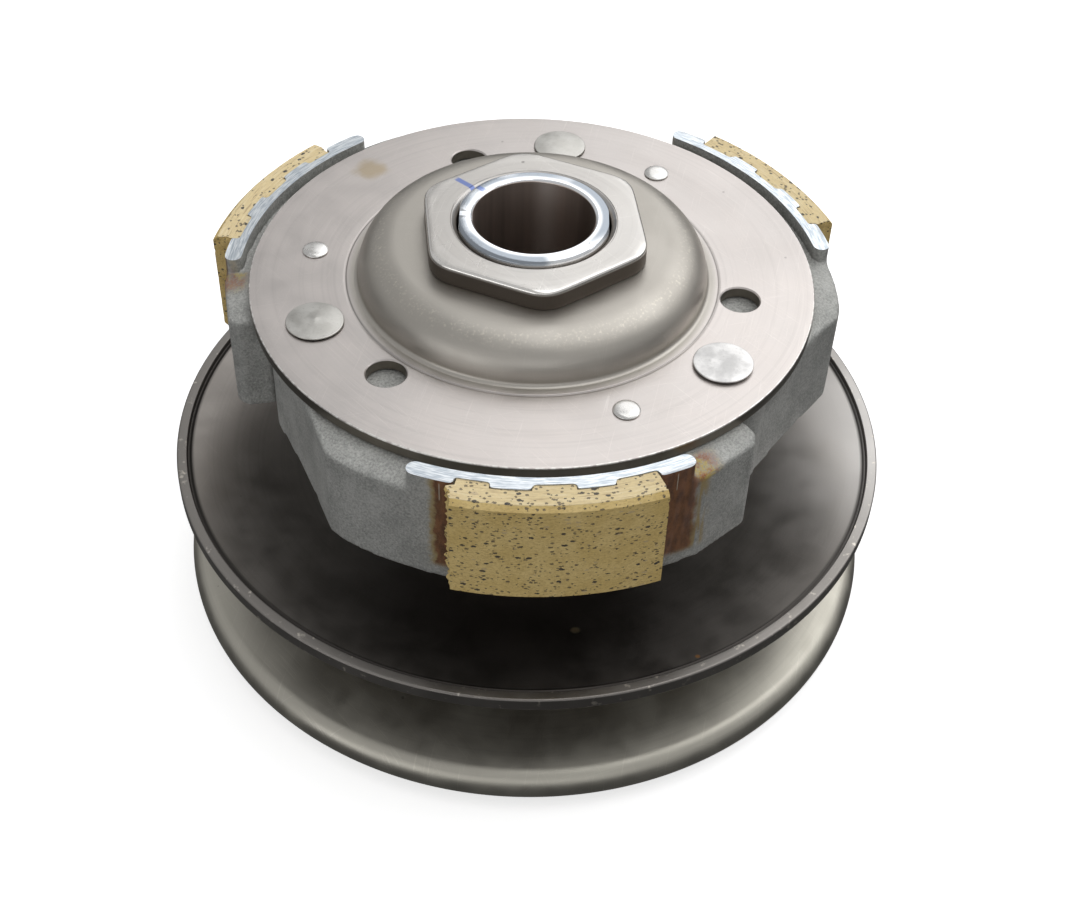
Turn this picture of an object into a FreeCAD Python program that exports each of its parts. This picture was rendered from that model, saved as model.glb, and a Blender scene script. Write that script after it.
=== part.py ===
import FreeCAD, Part
import math
import os

# Driven pulley of a scooter belt drive with its three-shoe centrifugal clutch.
# Millimetres. +Z runs along the shaft axis, from the sleeve's lower end that it rests on to the nut.

os.makedirs("parts", exist_ok=True)

# --- driving dimensions ---
SHEAVE_OD = 139.6          # both belt faces
SHEET = 2.6                # pressed steel of both belt faces
HALF_ANGLE = 13.0          # belt face slope from the flat
FIXED_FLAT_R = 24.0        # the fixed face is flat inside this
MOVABLE_FLAT_R = 28.0      # and the movable one inside this
ROLL_R = 3.87              # outside of the bead that the fixed face's rim is rolled into
ROLL_Z = 5.84              # height of the bead's centre
MOVABLE_RIM_Z = 30.69      # belt-side edge of the movable face's rim
MOVABLE_RIM_TOP = 33.39
RIM_LAND = 2.0             # width of the flat land round the movable face's rim
CLOSED_GAP = 0.35          # under the movable face's hub with the pulley closed
TRAVEL = 14.5              # opening of the movable face
TWIST = 24.0               # turn of the movable face over that travel, degrees

SLEEVE_R = 17.0
SLEEVE_BOTTOM = 0.0
SLEEVE_TOP = 84.2
BORE_R = 11.07
THREAD_R = 14.0            # M28 x 1
THREAD_FLAT = 13.45        # half the distance across the sleeve's two driving flats

PLATE_TOP = 71.5
PLATE_SHEET = 2.3
PLATE_R = 52.08
DOME_TOP = 79.5
DOME_WALL_R = 32.2
DOME_BEND = 7.0
PLATE_BOTTOM = PLATE_TOP - PLATE_SHEET

NUT_FLATS = 39.0
NUT_CORNER_R = 21.5
NUT_TOP = 83.5
NUT_TURN = 36.9            # degrees to the first corner
NUT_BEVEL = 0.6

PIVOT_R = 41.86            # circle of the shoe pivots
PIVOT_ANGLES = [203.44, 323.44, 83.44]
PIVOT_PIN_R = 4.0
DAMPER_R = 40.95
DAMPER_TURN = 90.35        # degrees ahead of the pivot
DAMPER_PIN_R = 2.2
DAMPER_SHOULDER_R = 3.2
RUBBER_R = 5.6
TOOL_HOLE_CIRCLE = 38.6
TOOL_HOLE_TURN = 26.8
TOOL_HOLE_R = 3.55

SHOE_BOTTOM = 48.7
SHOE_TOP = 68.0
SHOE_IN = 31.0
SHOE_OUT = 57.3
SHOE_BOSS_R = 8.3
BOSS_TOP = 69.0
LAND_TOP = 71.6
LAND_IN = 54.2
LAND_TURNS = (46.0, 96.0)
SEAT_R = 55.8
SEAT_TURNS = (54.5, 89.1)
TOOTH_R = 57.0
TEETH = [(60.6, 67.4), (74.9, 81.3)]
TAIL_END = 111.5
LINING_R = 61.16
LINING_TURNS = (54.9, 88.8)
LINING_BOTTOM = 49.44
LINING_TOP = 71.38
LINING_BEVEL = 0.9
SWING = 3.0                # outward swing of a shoe, degrees

HUB_R = 20.6
HUB_TOP = 60.4
RUN_FIT = 0.05
GUIDE_Z = 48.8
GUIDE_ANGLES = [30.0, 150.0, 270.0]
GUIDE_PIN_R = 2.2
ROLLER_R = 3.5
SPRING_MEAN_R = 23.6
SPRING_WALL = 1.4
SEAT_Z = 27.65
SEAT_SHEET = 1.4

BALL_BEARING_Z = 25.4      # lower face of the 15 x 28 x 7 ball bearing
BALL_BEARING_W = 7.0
NEEDLE_Z = 4.0             # lower face of the 20 x 29 x 18 needle bearing
NEEDLE_W = 18.0

SLOPE = math.tan(math.radians(HALF_ANGLE))
SIN_A = math.sin(math.radians(HALF_ANGLE))
COS_A = math.cos(math.radians(HALF_ANGLE))
RIM_R = SHEAVE_OD / 2
ROLL_CENTRE = (RIM_R - ROLL_R, ROLL_Z)
ROLL_START = (ROLL_CENTRE[0] + ROLL_R * SIN_A, ROLL_CENTRE[1] + ROLL_R * COS_A)
FIXED_FLAT_Z = ROLL_START[1] + (ROLL_START[0] - FIXED_FLAT_R) * SLOPE
MOVABLE_FLAT_Z = MOVABLE_RIM_Z - (RIM_R - MOVABLE_FLAT_R) * SLOPE
HUB_BOTTOM = FIXED_FLAT_Z + CLOSED_GAP
FLANGE = 3.0               # the sleeve's and the hub's riveting flanges
FIXED_FLANGE_Z = FIXED_FLAT_Z - SHEET - FLANGE
MOVABLE_FLANGE_Z = MOVABLE_FLAT_Z + SHEET + FLANGE
UP = FreeCAD.Vector(0, 0, 1)
ORIGIN = FreeCAD.Vector(0, 0, 0)


# --- helpers ---
def polar(radius, angle, z=0.0):
    a = math.radians(angle)
    return FreeCAD.Vector(radius * math.cos(a), radius * math.sin(a), z)


def tube(r_in, r_out, z_low, z_high):
    solid = Part.makeCylinder(r_out, z_high - z_low, FreeCAD.Vector(0, 0, z_low))
    if r_in > 0:
        solid = solid.cut(Part.makeCylinder(r_in, z_high - z_low + 2, FreeCAD.Vector(0, 0, z_low - 1)))
    return solid


def rod(radius, centre, z_low, z_high):
    return Part.makeCylinder(radius, z_high - z_low, FreeCAD.Vector(centre.x, centre.y, z_low))


def turned(start, *steps):
    """A solid of revolution about Z. A step is the next corner (r, z), or an arc's middle and end."""
    def at(p):
        return FreeCAD.Vector(p[0], 0, p[1])

    edges = []
    here = at(start)
    for step in steps + (start,):
        if isinstance(step[0], tuple):
            there = at(step[1])
            edges.append(Part.Arc(here, at(step[0]), there).toShape())
        else:
            there = at(step)
            edges.append(Part.LineSegment(here, there).toShape())
        here = there
    return Part.Face(Part.Wire(edges)).revolve(ORIGIN, UP, 360)


def bend(centre, radius, angle):
    """The point of a section's bend at that angle, in degrees from +r towards +z."""
    a = math.radians(angle)
    return (centre[0] + radius * math.cos(a), centre[1] + radius * math.sin(a))


def cap(radius, z, height):
    """The arc of a round cap from its edge at (radius, z) to the axis."""
    ball = (radius ** 2 + height ** 2) / (2 * height)
    half = math.asin(radius / ball) / 2
    return ((ball * math.sin(half), z + height - ball * (1 - math.cos(half))), (0, z + height))


def sector(r_in, r_out, turns, z_low, z_high):
    """A ring segment between two angles."""
    first, last = turns
    middle = (first + last) / 2
    outer = Part.Arc(polar(r_out, first), polar(r_out, middle), polar(r_out, last)).toShape()
    inner = Part.Arc(polar(r_in, last), polar(r_in, middle), polar(r_in, first)).toShape()
    sides = [
        Part.LineSegment(polar(r_out, last), polar(r_in, last)).toShape(),
        Part.LineSegment(polar(r_in, first), polar(r_out, first)).toShape(),
    ]
    face = Part.Face(Part.Wire([outer, sides[0], inner, sides[1]]))
    face.translate(FreeCAD.Vector(0, 0, z_low))
    return face.extrude(FreeCAD.Vector(0, 0, z_high - z_low))


def spun(shape, angle):
    copy = shape.copy()
    copy.rotate(ORIGIN, UP, angle)
    return copy


def ring_of(shape, angles):
    return Part.makeCompound([spun(shape, a) for a in angles])


def evenly(count):
    return [360.0 * i / count for i in range(count)]


def save(name, shape):
    shape.exportStep("parts/%s.step" % name)


# --- pulley ---
RIVETS = 6
RIVET_R = 1.9
RIVET_SINK = 0.9
FIXED_RIVET_CIRCLE = 20.4
MOVABLE_RIVET_CIRCLE = 24.3


def rivet_set(circle, z_low, z_high):
    """Flush rivets, countersunk at both ends."""
    wide = RIVET_R + RIVET_SINK
    one = turned(
        (0, z_low),
        (wide, z_low),
        (RIVET_R, z_low + RIVET_SINK),
        (RIVET_R, z_high - RIVET_SINK),
        (wide, z_high),
        (0, z_high),
    )
    one.translate(FreeCAD.Vector(circle, 0, 0))
    return ring_of(one, evenly(RIVETS))


def fixed_rivets():
    return rivet_set(FIXED_RIVET_CIRCLE, FIXED_FLANGE_Z, FIXED_FLAT_Z)


def movable_rivets():
    return rivet_set(MOVABLE_RIVET_CIRCLE, MOVABLE_FLAT_Z, MOVABLE_FLANGE_Z)


def fixed_sheave():
    """A pressed cone whose rim is rolled over and under into a hollow bead."""
    inner = ROLL_R - SHEET
    start = 90 - HALF_ANGLE
    end = -90
    middle = (start + end) / 2
    disc = turned(
        (SLEEVE_R + 0.02, FIXED_FLAT_Z),
        (FIXED_FLAT_R, FIXED_FLAT_Z),
        ROLL_START,
        (bend(ROLL_CENTRE, ROLL_R, middle), bend(ROLL_CENTRE, ROLL_R, end)),
        bend(ROLL_CENTRE, inner, end),
        (bend(ROLL_CENTRE, inner, middle), bend(ROLL_CENTRE, inner, start)),
        (FIXED_FLAT_R - SHEET * (1 - COS_A) / SIN_A, FIXED_FLAT_Z - SHEET),
        (SLEEVE_R + 0.02, FIXED_FLAT_Z - SHEET),
    )
    return disc.cut(fixed_rivets())


def movable_sheave():
    """A pressed cone, dished on its back inside a raised flat rim land."""
    edge = 0.4
    land_in = RIM_R - RIM_LAND
    back_rim_z = MOVABLE_RIM_Z - RIM_LAND * SLOPE + SHEET / COS_A - 0.15
    back_z = MOVABLE_FLAT_Z + SHEET
    disc = turned(
        (HUB_R + 0.02, MOVABLE_FLAT_Z),
        (MOVABLE_FLAT_R, MOVABLE_FLAT_Z),
        (RIM_R - edge, MOVABLE_RIM_Z - edge * SLOPE),
        (RIM_R, MOVABLE_RIM_Z + edge),
        (RIM_R, MOVABLE_RIM_TOP - edge),
        (RIM_R - edge, MOVABLE_RIM_TOP),
        (land_in, MOVABLE_RIM_TOP),
        (land_in - 0.3, back_rim_z),
        (MOVABLE_FLAT_R - SHEET * (1 - COS_A) / SIN_A, back_z),
        (HUB_R + 0.02, back_z),
    )
    return disc.cut(movable_rivets())


def cam_slot(angle):
    """The helical slot that a guide roller runs in: it leads down and back from the roller."""
    half = ROLLER_R + 0.1
    depth = 8.0
    middle_r = (SLEEVE_R + HUB_R) / 2
    lead = math.atan2(TRAVEL, middle_r * math.radians(TWIST))
    extra = half * math.sin(lead)
    extra_turn = extra * TWIST / TRAVEL
    helix = Part.makeHelix(TRAVEL * 360 / TWIST, TRAVEL + 2 * extra, middle_r)
    across = FreeCAD.Vector(0, -math.sin(lead), math.cos(lead))
    out = FreeCAD.Vector(1, 0, 0)
    start = FreeCAD.Vector(middle_r, 0, 0)
    sides = [(-1, -1), (1, -1), (1, 1), (-1, 1)]
    corners = [start + out * (depth / 2) * s + across * half * t for s, t in sides]
    outline = Part.makePolygon(corners + corners[:1])
    slot = Part.Wire(helix.Edges).makePipeShell([outline], True, True)
    slot = spun(slot, angle - TWIST - extra_turn)
    slot.translate(FreeCAD.Vector(0, 0, GUIDE_Z - TRAVEL - extra))
    return slot


HUB_FLANGE_R = 27.4
SEAL_DEPTH = 3.0
SEAL_R = 19.3
RING_R = 0.65
RING_ZS = [28.1, 54.9]
RING_MEAN = 20.05


def movable_hub():
    flange_low = MOVABLE_FLAT_Z + SHEET
    flange_high = MOVABLE_FLANGE_Z
    hub = turned(
        (SLEEVE_R + RUN_FIT, HUB_BOTTOM),
        (HUB_R, HUB_BOTTOM),
        (HUB_R, flange_low),
        (HUB_FLANGE_R, flange_low),
        (HUB_FLANGE_R, flange_high),
        (HUB_R, flange_high),
        (HUB_R, HUB_TOP - 0.5),
        (HUB_R - 0.5, HUB_TOP),
        (SLEEVE_R + RUN_FIT, HUB_TOP),
    )
    hub = hub.cut(tube(0, SEAL_R, HUB_BOTTOM - 1, HUB_BOTTOM + SEAL_DEPTH))
    hub = hub.cut(tube(0, SEAL_R, HUB_TOP - SEAL_DEPTH, HUB_TOP + 1))
    for z in RING_ZS:
        hub = hub.cut(tube(RING_MEAN - RING_R - 0.05, HUB_R + 1, z - RING_R - 0.05, z + RING_R + 0.05))
    hub = hub.cut([cam_slot(a) for a in GUIDE_ANGLES])
    return hub.cut(movable_rivets())


def oil_seals():
    """Two lip seals in the hub's ends, each wiping the sleeve on one lip."""
    def seal(z, facing):
        lip = SLEEVE_R + 0.03
        back = z + facing * SEAL_DEPTH
        return turned(
            (SEAL_R - 0.02, z),
            (SEAL_R - 0.02, back),
            (SEAL_R - 0.7, back),
            (SEAL_R - 0.7, z + facing * 0.9),
            (lip + 0.9, z + facing * 0.9),
            (lip + 0.8, z + facing * 2.2),
            (lip + 0.3, z + facing * 2.4),
            (lip, z + facing * 1.9),
            (lip + 0.5, z),
        )

    return Part.makeCompound([seal(HUB_BOTTOM, 1), seal(HUB_TOP, -1)])


def o_rings():
    return Part.makeCompound(
        [Part.makeTorus(RING_MEAN, RING_R, FreeCAD.Vector(0, 0, z)) for z in RING_ZS]
    )


COLLAR_IN = 20.75
COLLAR_SHEET = 0.6
COLLAR_Z = MOVABLE_FLANGE_Z + 0.05
COLLAR_TOP = 57.0
COLLAR_FLANGE_R = 26.6


def seal_collar():
    out = COLLAR_IN + COLLAR_SHEET
    return turned(
        (COLLAR_IN, COLLAR_Z),
        (COLLAR_FLANGE_R, COLLAR_Z),
        (COLLAR_FLANGE_R, COLLAR_Z + COLLAR_SHEET),
        (out, COLLAR_Z + COLLAR_SHEET),
        (out, COLLAR_TOP),
        (COLLAR_IN, COLLAR_TOP),
    )


def spring_seat():
    inner = COLLAR_IN + COLLAR_SHEET + 0.3
    outer = SPRING_MEAN_R + 3.2
    return turned(
        (inner, SEAT_Z),
        (outer, SEAT_Z),
        (outer, SEAT_Z + SEAT_SHEET + 1.2),
        (outer - 1.0, SEAT_Z + SEAT_SHEET + 1.2),
        (outer - 1.0, SEAT_Z + SEAT_SHEET),
        (inner, SEAT_Z + SEAT_SHEET),
    )


def contra_spring():
    """A plain sleeve of the coil's mean size and about its metal volume."""
    half = SPRING_WALL / 2
    return tube(
        SPRING_MEAN_R - half, SPRING_MEAN_R + half, SEAT_Z + SEAT_SHEET, DOME_TOP - PLATE_SHEET
    )


# --- drive sleeve and its bearings ---
BALL_SEAT_R = 14.0
NEEDLE_SEAT_R = 14.5
CIRCLIP_T = 1.2
CIRCLIP_GROOVE_R = 14.75
SLEEVE_FLANGE_R = 23.5


def drive_sleeve():
    flange_top = FIXED_FLAT_Z - SHEET
    shoulder = DOME_TOP - PLATE_SHEET
    ball_top = BALL_BEARING_Z + BALL_BEARING_W
    sleeve = turned(
        (NEEDLE_SEAT_R + 0.5, SLEEVE_BOTTOM),
        (SLEEVE_R + 0.6, SLEEVE_BOTTOM),
        (SLEEVE_R + 1.0, SLEEVE_BOTTOM + 0.6),
        (SLEEVE_R + 1.0, FIXED_FLANGE_Z - 0.5),
        (SLEEVE_R + 1.5, FIXED_FLANGE_Z),
        (SLEEVE_FLANGE_R - 0.4, FIXED_FLANGE_Z),
        (SLEEVE_FLANGE_R, FIXED_FLANGE_Z + 0.4),
        (SLEEVE_FLANGE_R, flange_top),
        (SLEEVE_R, flange_top),
        (SLEEVE_R, shoulder),
        (THREAD_R, shoulder),
        (THREAD_R, SLEEVE_TOP - 0.4),
        (THREAD_R - 0.37, SLEEVE_TOP),
        (BORE_R + 0.33, SLEEVE_TOP),
        (BORE_R, SLEEVE_TOP - 0.33),
        (BORE_R, ball_top),
        (BALL_SEAT_R, ball_top),
        (BALL_SEAT_R, BALL_BEARING_Z),
        (CIRCLIP_GROOVE_R, BALL_BEARING_Z),
        (CIRCLIP_GROOVE_R, BALL_BEARING_Z - CIRCLIP_T - 0.05),
        (BALL_SEAT_R, BALL_BEARING_Z - CIRCLIP_T - 0.05),
        (BALL_SEAT_R, NEEDLE_Z + NEEDLE_W + 0.6),
        (NEEDLE_SEAT_R, NEEDLE_Z + NEEDLE_W),
        (NEEDLE_SEAT_R, SLEEVE_BOTTOM + 0.5),
    )
    for side in (-1, 1):
        flat = Part.makeBox(10, 60, SLEEVE_TOP - shoulder + 1)
        flat.translate(FreeCAD.Vector(-5 + side * (THREAD_FLAT + 5), -30, shoulder))
        sleeve = sleeve.cut(flat)
    sleeve = sleeve.cut(fixed_rivets())
    return sleeve.cut([guide_rod(GUIDE_PIN_R, BORE_R - 2, SLEEVE_R + 2, a) for a in GUIDE_ANGLES])


def guide_rod(radius, r_in, r_out, angle):
    """A round bar along a radius, at the guide pins' height."""
    return Part.makeCylinder(radius, r_out - r_in, polar(r_in, angle, GUIDE_Z), polar(1, angle))


def guide_pins():
    return Part.makeCompound([guide_rod(GUIDE_PIN_R, BORE_R + 0.5, HUB_R - 0.2, a) for a in GUIDE_ANGLES])


def guide_roller(angle):
    outside = guide_rod(ROLLER_R, SLEEVE_R + 0.3, HUB_R - 0.3, angle)
    return outside.cut(guide_rod(GUIDE_PIN_R + RUN_FIT, SLEEVE_R, HUB_R, angle))


BALL_R = 2.2
BALLS = 10
BALL_CIRCLE = 10.75
RACE_CLEAR = 0.04


def ball_ring(r_in, r_out):
    middle = BALL_BEARING_Z + BALL_BEARING_W / 2
    ring = tube(r_in, r_out, BALL_BEARING_Z, BALL_BEARING_Z + BALL_BEARING_W)
    return ring.cut(Part.makeTorus(BALL_CIRCLE, BALL_R + RACE_CLEAR, FreeCAD.Vector(0, 0, middle)))


def ball_set(radius):
    middle = BALL_BEARING_Z + BALL_BEARING_W / 2
    return ring_of(Part.makeSphere(radius, FreeCAD.Vector(BALL_CIRCLE, 0, middle)), evenly(BALLS))


def ball_cage():
    middle = BALL_BEARING_Z + BALL_BEARING_W / 2
    band = tube(BALL_CIRCLE - 0.5, BALL_CIRCLE + 0.5, middle - 1.9, middle + 1.9)
    return band.cut(ball_set(BALL_R + 0.06))


def ball_seals():
    inner, outer = 9.5, 12.0
    low = tube(inner, outer, BALL_BEARING_Z + 0.3, BALL_BEARING_Z + 0.9)
    high = tube(inner, outer, BALL_BEARING_Z + BALL_BEARING_W - 0.9, BALL_BEARING_Z + BALL_BEARING_W - 0.3)
    return Part.makeCompound([low, high])


NEEDLE_R = 1.25
NEEDLES = 18
NEEDLE_CIRCLE = 11.25


def needle_shell():
    top = NEEDLE_Z + NEEDLE_W
    race = NEEDLE_CIRCLE + NEEDLE_R + 0.03
    return turned(
        (race - 1.0, NEEDLE_Z),
        (NEEDLE_SEAT_R - 0.01, NEEDLE_Z),
        (NEEDLE_SEAT_R - 0.01, top),
        (race - 1.0, top),
        (race - 1.0, top - 1.0),
        (race, top - 1.0),
        (race, NEEDLE_Z + 1.0),
        (race - 1.0, NEEDLE_Z + 1.0),
    )


def needle_set(radius, spare):
    low = NEEDLE_Z + 2.2 - spare
    high = NEEDLE_Z + NEEDLE_W - 2.2 + spare
    return ring_of(rod(radius, FreeCAD.Vector(NEEDLE_CIRCLE, 0, 0), low, high), evenly(NEEDLES))


def needle_cage():
    band = tube(NEEDLE_CIRCLE - 0.6, NEEDLE_CIRCLE + 0.8, NEEDLE_Z + 1.2, NEEDLE_Z + NEEDLE_W - 1.2)
    return band.cut(needle_set(NEEDLE_R + 0.05, 0.1))


def open_ring(r_in, r_out, z_low, z_high, opening, angle):
    """A flat ring with a gap: a circlip."""
    ring = tube(r_in, r_out, z_low, z_high)
    gap = Part.makeBox(r_out + 2, opening, z_high - z_low + 2)
    gap.translate(FreeCAD.Vector(0, -opening / 2, z_low - 1))
    return ring.cut(spun(gap, angle))


def bearing_circlip():
    return open_ring(12.4, CIRCLIP_GROOVE_R - 0.05, BALL_BEARING_Z - CIRCLIP_T, BALL_BEARING_Z, 7.0, 250)


# --- clutch ---
def drive_plate():
    bend_centre = (DOME_WALL_R - DOME_BEND, DOME_TOP - DOME_BEND)
    inner = DOME_BEND - PLATE_SHEET
    wall_in = DOME_WALL_R - PLATE_SHEET
    foot = bend_centre[1] - PLATE_TOP
    foot_centre = (DOME_WALL_R + foot, bend_centre[1])
    under_centre = (wall_in + 1.5, PLATE_BOTTOM + 1.5)
    plate = turned(
        (THREAD_R + 0.02, DOME_TOP),
        (bend_centre[0], DOME_TOP),
        (bend(bend_centre, DOME_BEND, 45), bend(bend_centre, DOME_BEND, 0)),
        (bend(foot_centre, foot, 225), bend(foot_centre, foot, 270)),
        (PLATE_R - 0.3, PLATE_TOP),
        (PLATE_R, PLATE_TOP - 0.3),
        (PLATE_R, PLATE_BOTTOM + 0.3),
        (PLATE_R - 0.3, PLATE_BOTTOM),
        bend(under_centre, 1.5, 270),
        (bend(under_centre, 1.5, 225), bend(under_centre, 1.5, 180)),
        bend(bend_centre, inner, 0),
        (bend(bend_centre, inner, 45), bend(bend_centre, inner, 90)),
        (THREAD_R + 0.02, DOME_TOP - PLATE_SHEET),
    )
    holes = []
    for angle in PIVOT_ANGLES:
        holes.append(rod(PIVOT_PIN_R, polar(PIVOT_R, angle), PLATE_BOTTOM - 1, PLATE_TOP + 1))
        holes.append(rod(DAMPER_PIN_R, polar(DAMPER_R, angle + DAMPER_TURN), PLATE_BOTTOM - 1, PLATE_TOP + 1))
        tool = polar(TOOL_HOLE_CIRCLE, angle + TOOL_HOLE_TURN)
        holes.append(rod(TOOL_HOLE_R, tool, PLATE_BOTTOM - 1, PLATE_TOP + 1))
    keys = tube(0, THREAD_R + 0.02, DOME_TOP - PLATE_SHEET, DOME_TOP)
    keys = keys.cut(Part.makeBox(2 * THREAD_FLAT, 60, 20, FreeCAD.Vector(-THREAD_FLAT, -30, DOME_TOP - 10)))
    return plate.cut(holes).fuse(keys.Solids).removeSplitter()


def clutch_nut():
    """A thin hexagon with rounded corners, bevelled at its top edge."""
    low = DOME_TOP
    flats = NUT_FLATS / 2
    block = tube(THREAD_R + 0.02, NUT_CORNER_R, low, NUT_TOP)
    bevel = turned(
        (THREAD_R + 0.02, low),
        (NUT_CORNER_R, low),
        (NUT_CORNER_R, NUT_TOP - NUT_BEVEL),
        (NUT_CORNER_R - 1.4, NUT_TOP),
        (THREAD_R + 0.9, NUT_TOP),
        (THREAD_R + 0.02, NUT_TOP - 0.9),
    )
    block = block.common(bevel)
    for i in range(6):
        cutter = Part.makeBox(20, 80, 20, FreeCAD.Vector(flats, -40, low - 5))
        block = block.cut(spun(cutter, NUT_TURN + 30 + 60 * i))
    return block


def pivot_pin(angle):
    """Riveted over the plate in a low dome; grooved for an open clip at its lower end."""
    head_r = 5.45
    low = SHOE_BOTTOM - 3.2
    groove_low = SHOE_BOTTOM - 2.1
    groove_high = SHOE_BOTTOM - 1.1
    pin = turned(
        (0, low),
        (PIVOT_PIN_R - 0.5, low),
        (PIVOT_PIN_R, low + 0.5),
        (PIVOT_PIN_R, groove_low),
        (PIVOT_PIN_R - 0.9, groove_low),
        (PIVOT_PIN_R - 0.9, groove_high),
        (PIVOT_PIN_R, groove_high),
        (PIVOT_PIN_R, PLATE_TOP),
        (head_r - 0.5, PLATE_TOP),
        (head_r, PLATE_TOP + 0.3),
        cap(head_r, PLATE_TOP + 0.3, 0.6),
    )
    pin.translate(polar(PIVOT_R, angle))
    return pin


def damper_pin(angle):
    """Riveted over the plate, with a shoulder under it that carries the rubber."""
    head_r = 2.45
    pin = turned(
        (0, SHOE_BOTTOM + 3.0),
        (DAMPER_SHOULDER_R, SHOE_BOTTOM + 3.0),
        (DAMPER_SHOULDER_R, PLATE_BOTTOM),
        (DAMPER_PIN_R, PLATE_BOTTOM),
        (DAMPER_PIN_R, PLATE_TOP),
        (head_r, PLATE_TOP),
        (head_r, PLATE_TOP + 0.15),
        cap(head_r, PLATE_TOP + 0.15, 0.49),
    )
    pin.translate(polar(DAMPER_R, angle + DAMPER_TURN))
    return pin


def damper_rubber(angle):
    ring = tube(DAMPER_SHOULDER_R + 0.02, RUBBER_R, SHOE_BOTTOM + 3.4, SHOE_TOP - 1.0)
    ring.translate(polar(DAMPER_R, angle + DAMPER_TURN))
    return ring


def pivot_washer(angle):
    washer = tube(PIVOT_PIN_R + 0.1, 7.4, SHOE_BOTTOM - 1.0, SHOE_BOTTOM - 0.2)
    washer.translate(polar(PIVOT_R, angle))
    return washer


def pivot_clip(angle):
    clip = open_ring(PIVOT_PIN_R - 0.85, 6.6, SHOE_BOTTOM - 2.0, SHOE_BOTTOM - 1.2, 5.0, angle + 200)
    clip.translate(polar(PIVOT_R, angle))
    return clip


def shoe_outline():
    """The casting's outline seen along the shaft, with its pivot on the X axis."""
    def line(a, b):
        return Part.LineSegment(a, b).toShape()

    start = polar(SHOE_IN, 6)
    heel = [polar(49.9, 2), polar(51.2, 16), polar(52.8, 21.5), polar(SHOE_OUT - 0.4, 30)]
    rim_start = polar(SHOE_OUT, 33)
    rim_end = polar(SHOE_OUT, 98)
    tail = [polar(56.3, TAIL_END - 2), polar(54.8, TAIL_END), polar(48.0, TAIL_END + 0.5)]
    toe = polar(SHOE_IN, 105)
    edges = [line(start, heel[0])]
    edges += [line(a, b) for a, b in zip(heel, heel[1:])]
    edges.append(line(heel[-1], rim_start))
    edges.append(Part.Arc(rim_start, polar(SHOE_OUT, 65), rim_end).toShape())
    edges.append(line(rim_end, tail[0]))
    edges += [line(a, b) for a, b in zip(tail, tail[1:])]
    edges.append(line(tail[-1], toe))
    edges.append(Part.Arc(toe, polar(SHOE_IN, 55), start).toShape())
    return Part.Face(Part.Wire(edges))


PEG_R = 1.3
PEG_CIRCLE = 34.0
PEG_TURNS = {"heel": 20.0, "tail": 96.0}
PEG_BOTTOM = SHOE_BOTTOM - 5.6
CLUTCH_SPRING_Z = SHOE_BOTTOM - 3.4


def shoe():
    """One shoe about the X axis: die-cast arm, pivot boss, machined lining land and spring pegs."""
    face = shoe_outline()
    face.translate(FreeCAD.Vector(0, 0, SHOE_BOTTOM))
    body = face.extrude(FreeCAD.Vector(0, 0, SHOE_TOP - SHOE_BOTTOM))
    next_boss = rod(SHOE_BOSS_R + 1.7, polar(PIVOT_R, 120), SHOE_BOTTOM - 1, LAND_TOP)
    body = body.cut(next_boss)
    body = body.fuse(rod(SHOE_BOSS_R, polar(PIVOT_R, 0), SHOE_BOTTOM, SHOE_TOP))
    body = body.fuse(rod(6.6, polar(PIVOT_R, 0), SHOE_TOP - 1, BOSS_TOP))
    body = body.fuse(sector(LAND_IN, SHOE_OUT, LAND_TURNS, SHOE_TOP - 1, LAND_TOP))
    body = body.cut(sector(SEAT_R, SHOE_OUT + 3, SEAT_TURNS, SHOE_BOTTOM - 1, LAND_TOP + 1))
    for turns in TEETH:
        body = body.fuse(sector(SEAT_R - 1, TOOTH_R, turns, SHOE_BOTTOM, LAND_TOP))
    body = body.removeSplitter()
    body = body.cut(rod(PIVOT_PIN_R + RUN_FIT, polar(PIVOT_R, 0), SHOE_BOTTOM - 1, LAND_TOP))
    body = body.cut(damper_slot())
    for turn in PEG_TURNS.values():
        body = body.fuse(rod(PEG_R, polar(PEG_CIRCLE, turn), PEG_BOTTOM, SHOE_BOTTOM + 0.5))
    return body


def damper_slot():
    """Room round the rubber, and for the shoe to swing past it."""
    radius = RUBBER_R + 0.35
    rest = polar(DAMPER_R, DAMPER_TURN)
    arm = rest - polar(PIVOT_R, 0)
    shift = UP.cross(arm) * math.radians(SWING)
    low, height = SHOE_BOTTOM - 1, LAND_TOP - SHOE_BOTTOM + 2
    ends = [rod(radius, rest + shift * s, low, low + height) for s in (0, 1)]
    bar = Part.makeBox(shift.Length, 2 * radius, height, FreeCAD.Vector(0, -radius, 0))
    bar.rotate(ORIGIN, UP, math.degrees(math.atan2(shift.y, shift.x)))
    bar.translate(FreeCAD.Vector(rest.x, rest.y, low))
    return ends[0].fuse([ends[1], bar])


def lining():
    """A bonded friction pad about the X axis, notched over the shoe's teeth."""
    pad = turned(
        (SEAT_R + 0.02, LINING_BOTTOM),
        (LINING_R - LINING_BEVEL, LINING_BOTTOM),
        (LINING_R, LINING_BOTTOM + LINING_BEVEL),
        (LINING_R, LINING_TOP - LINING_BEVEL),
        (LINING_R - LINING_BEVEL, LINING_TOP),
        (SEAT_R + 0.02, LINING_TOP),
    )
    pad = pad.common(sector(SEAT_R - 5, LINING_R + 5, LINING_TURNS, SHOE_BOTTOM - 1, LAND_TOP + 1))
    for first, last in TEETH:
        notch = sector(SEAT_R - 1, TOOTH_R + 0.02, (first - 0.05, last + 0.05), SHOE_BOTTOM - 1, LAND_TOP + 1)
        pad = pad.cut(notch)
    return pad


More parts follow.
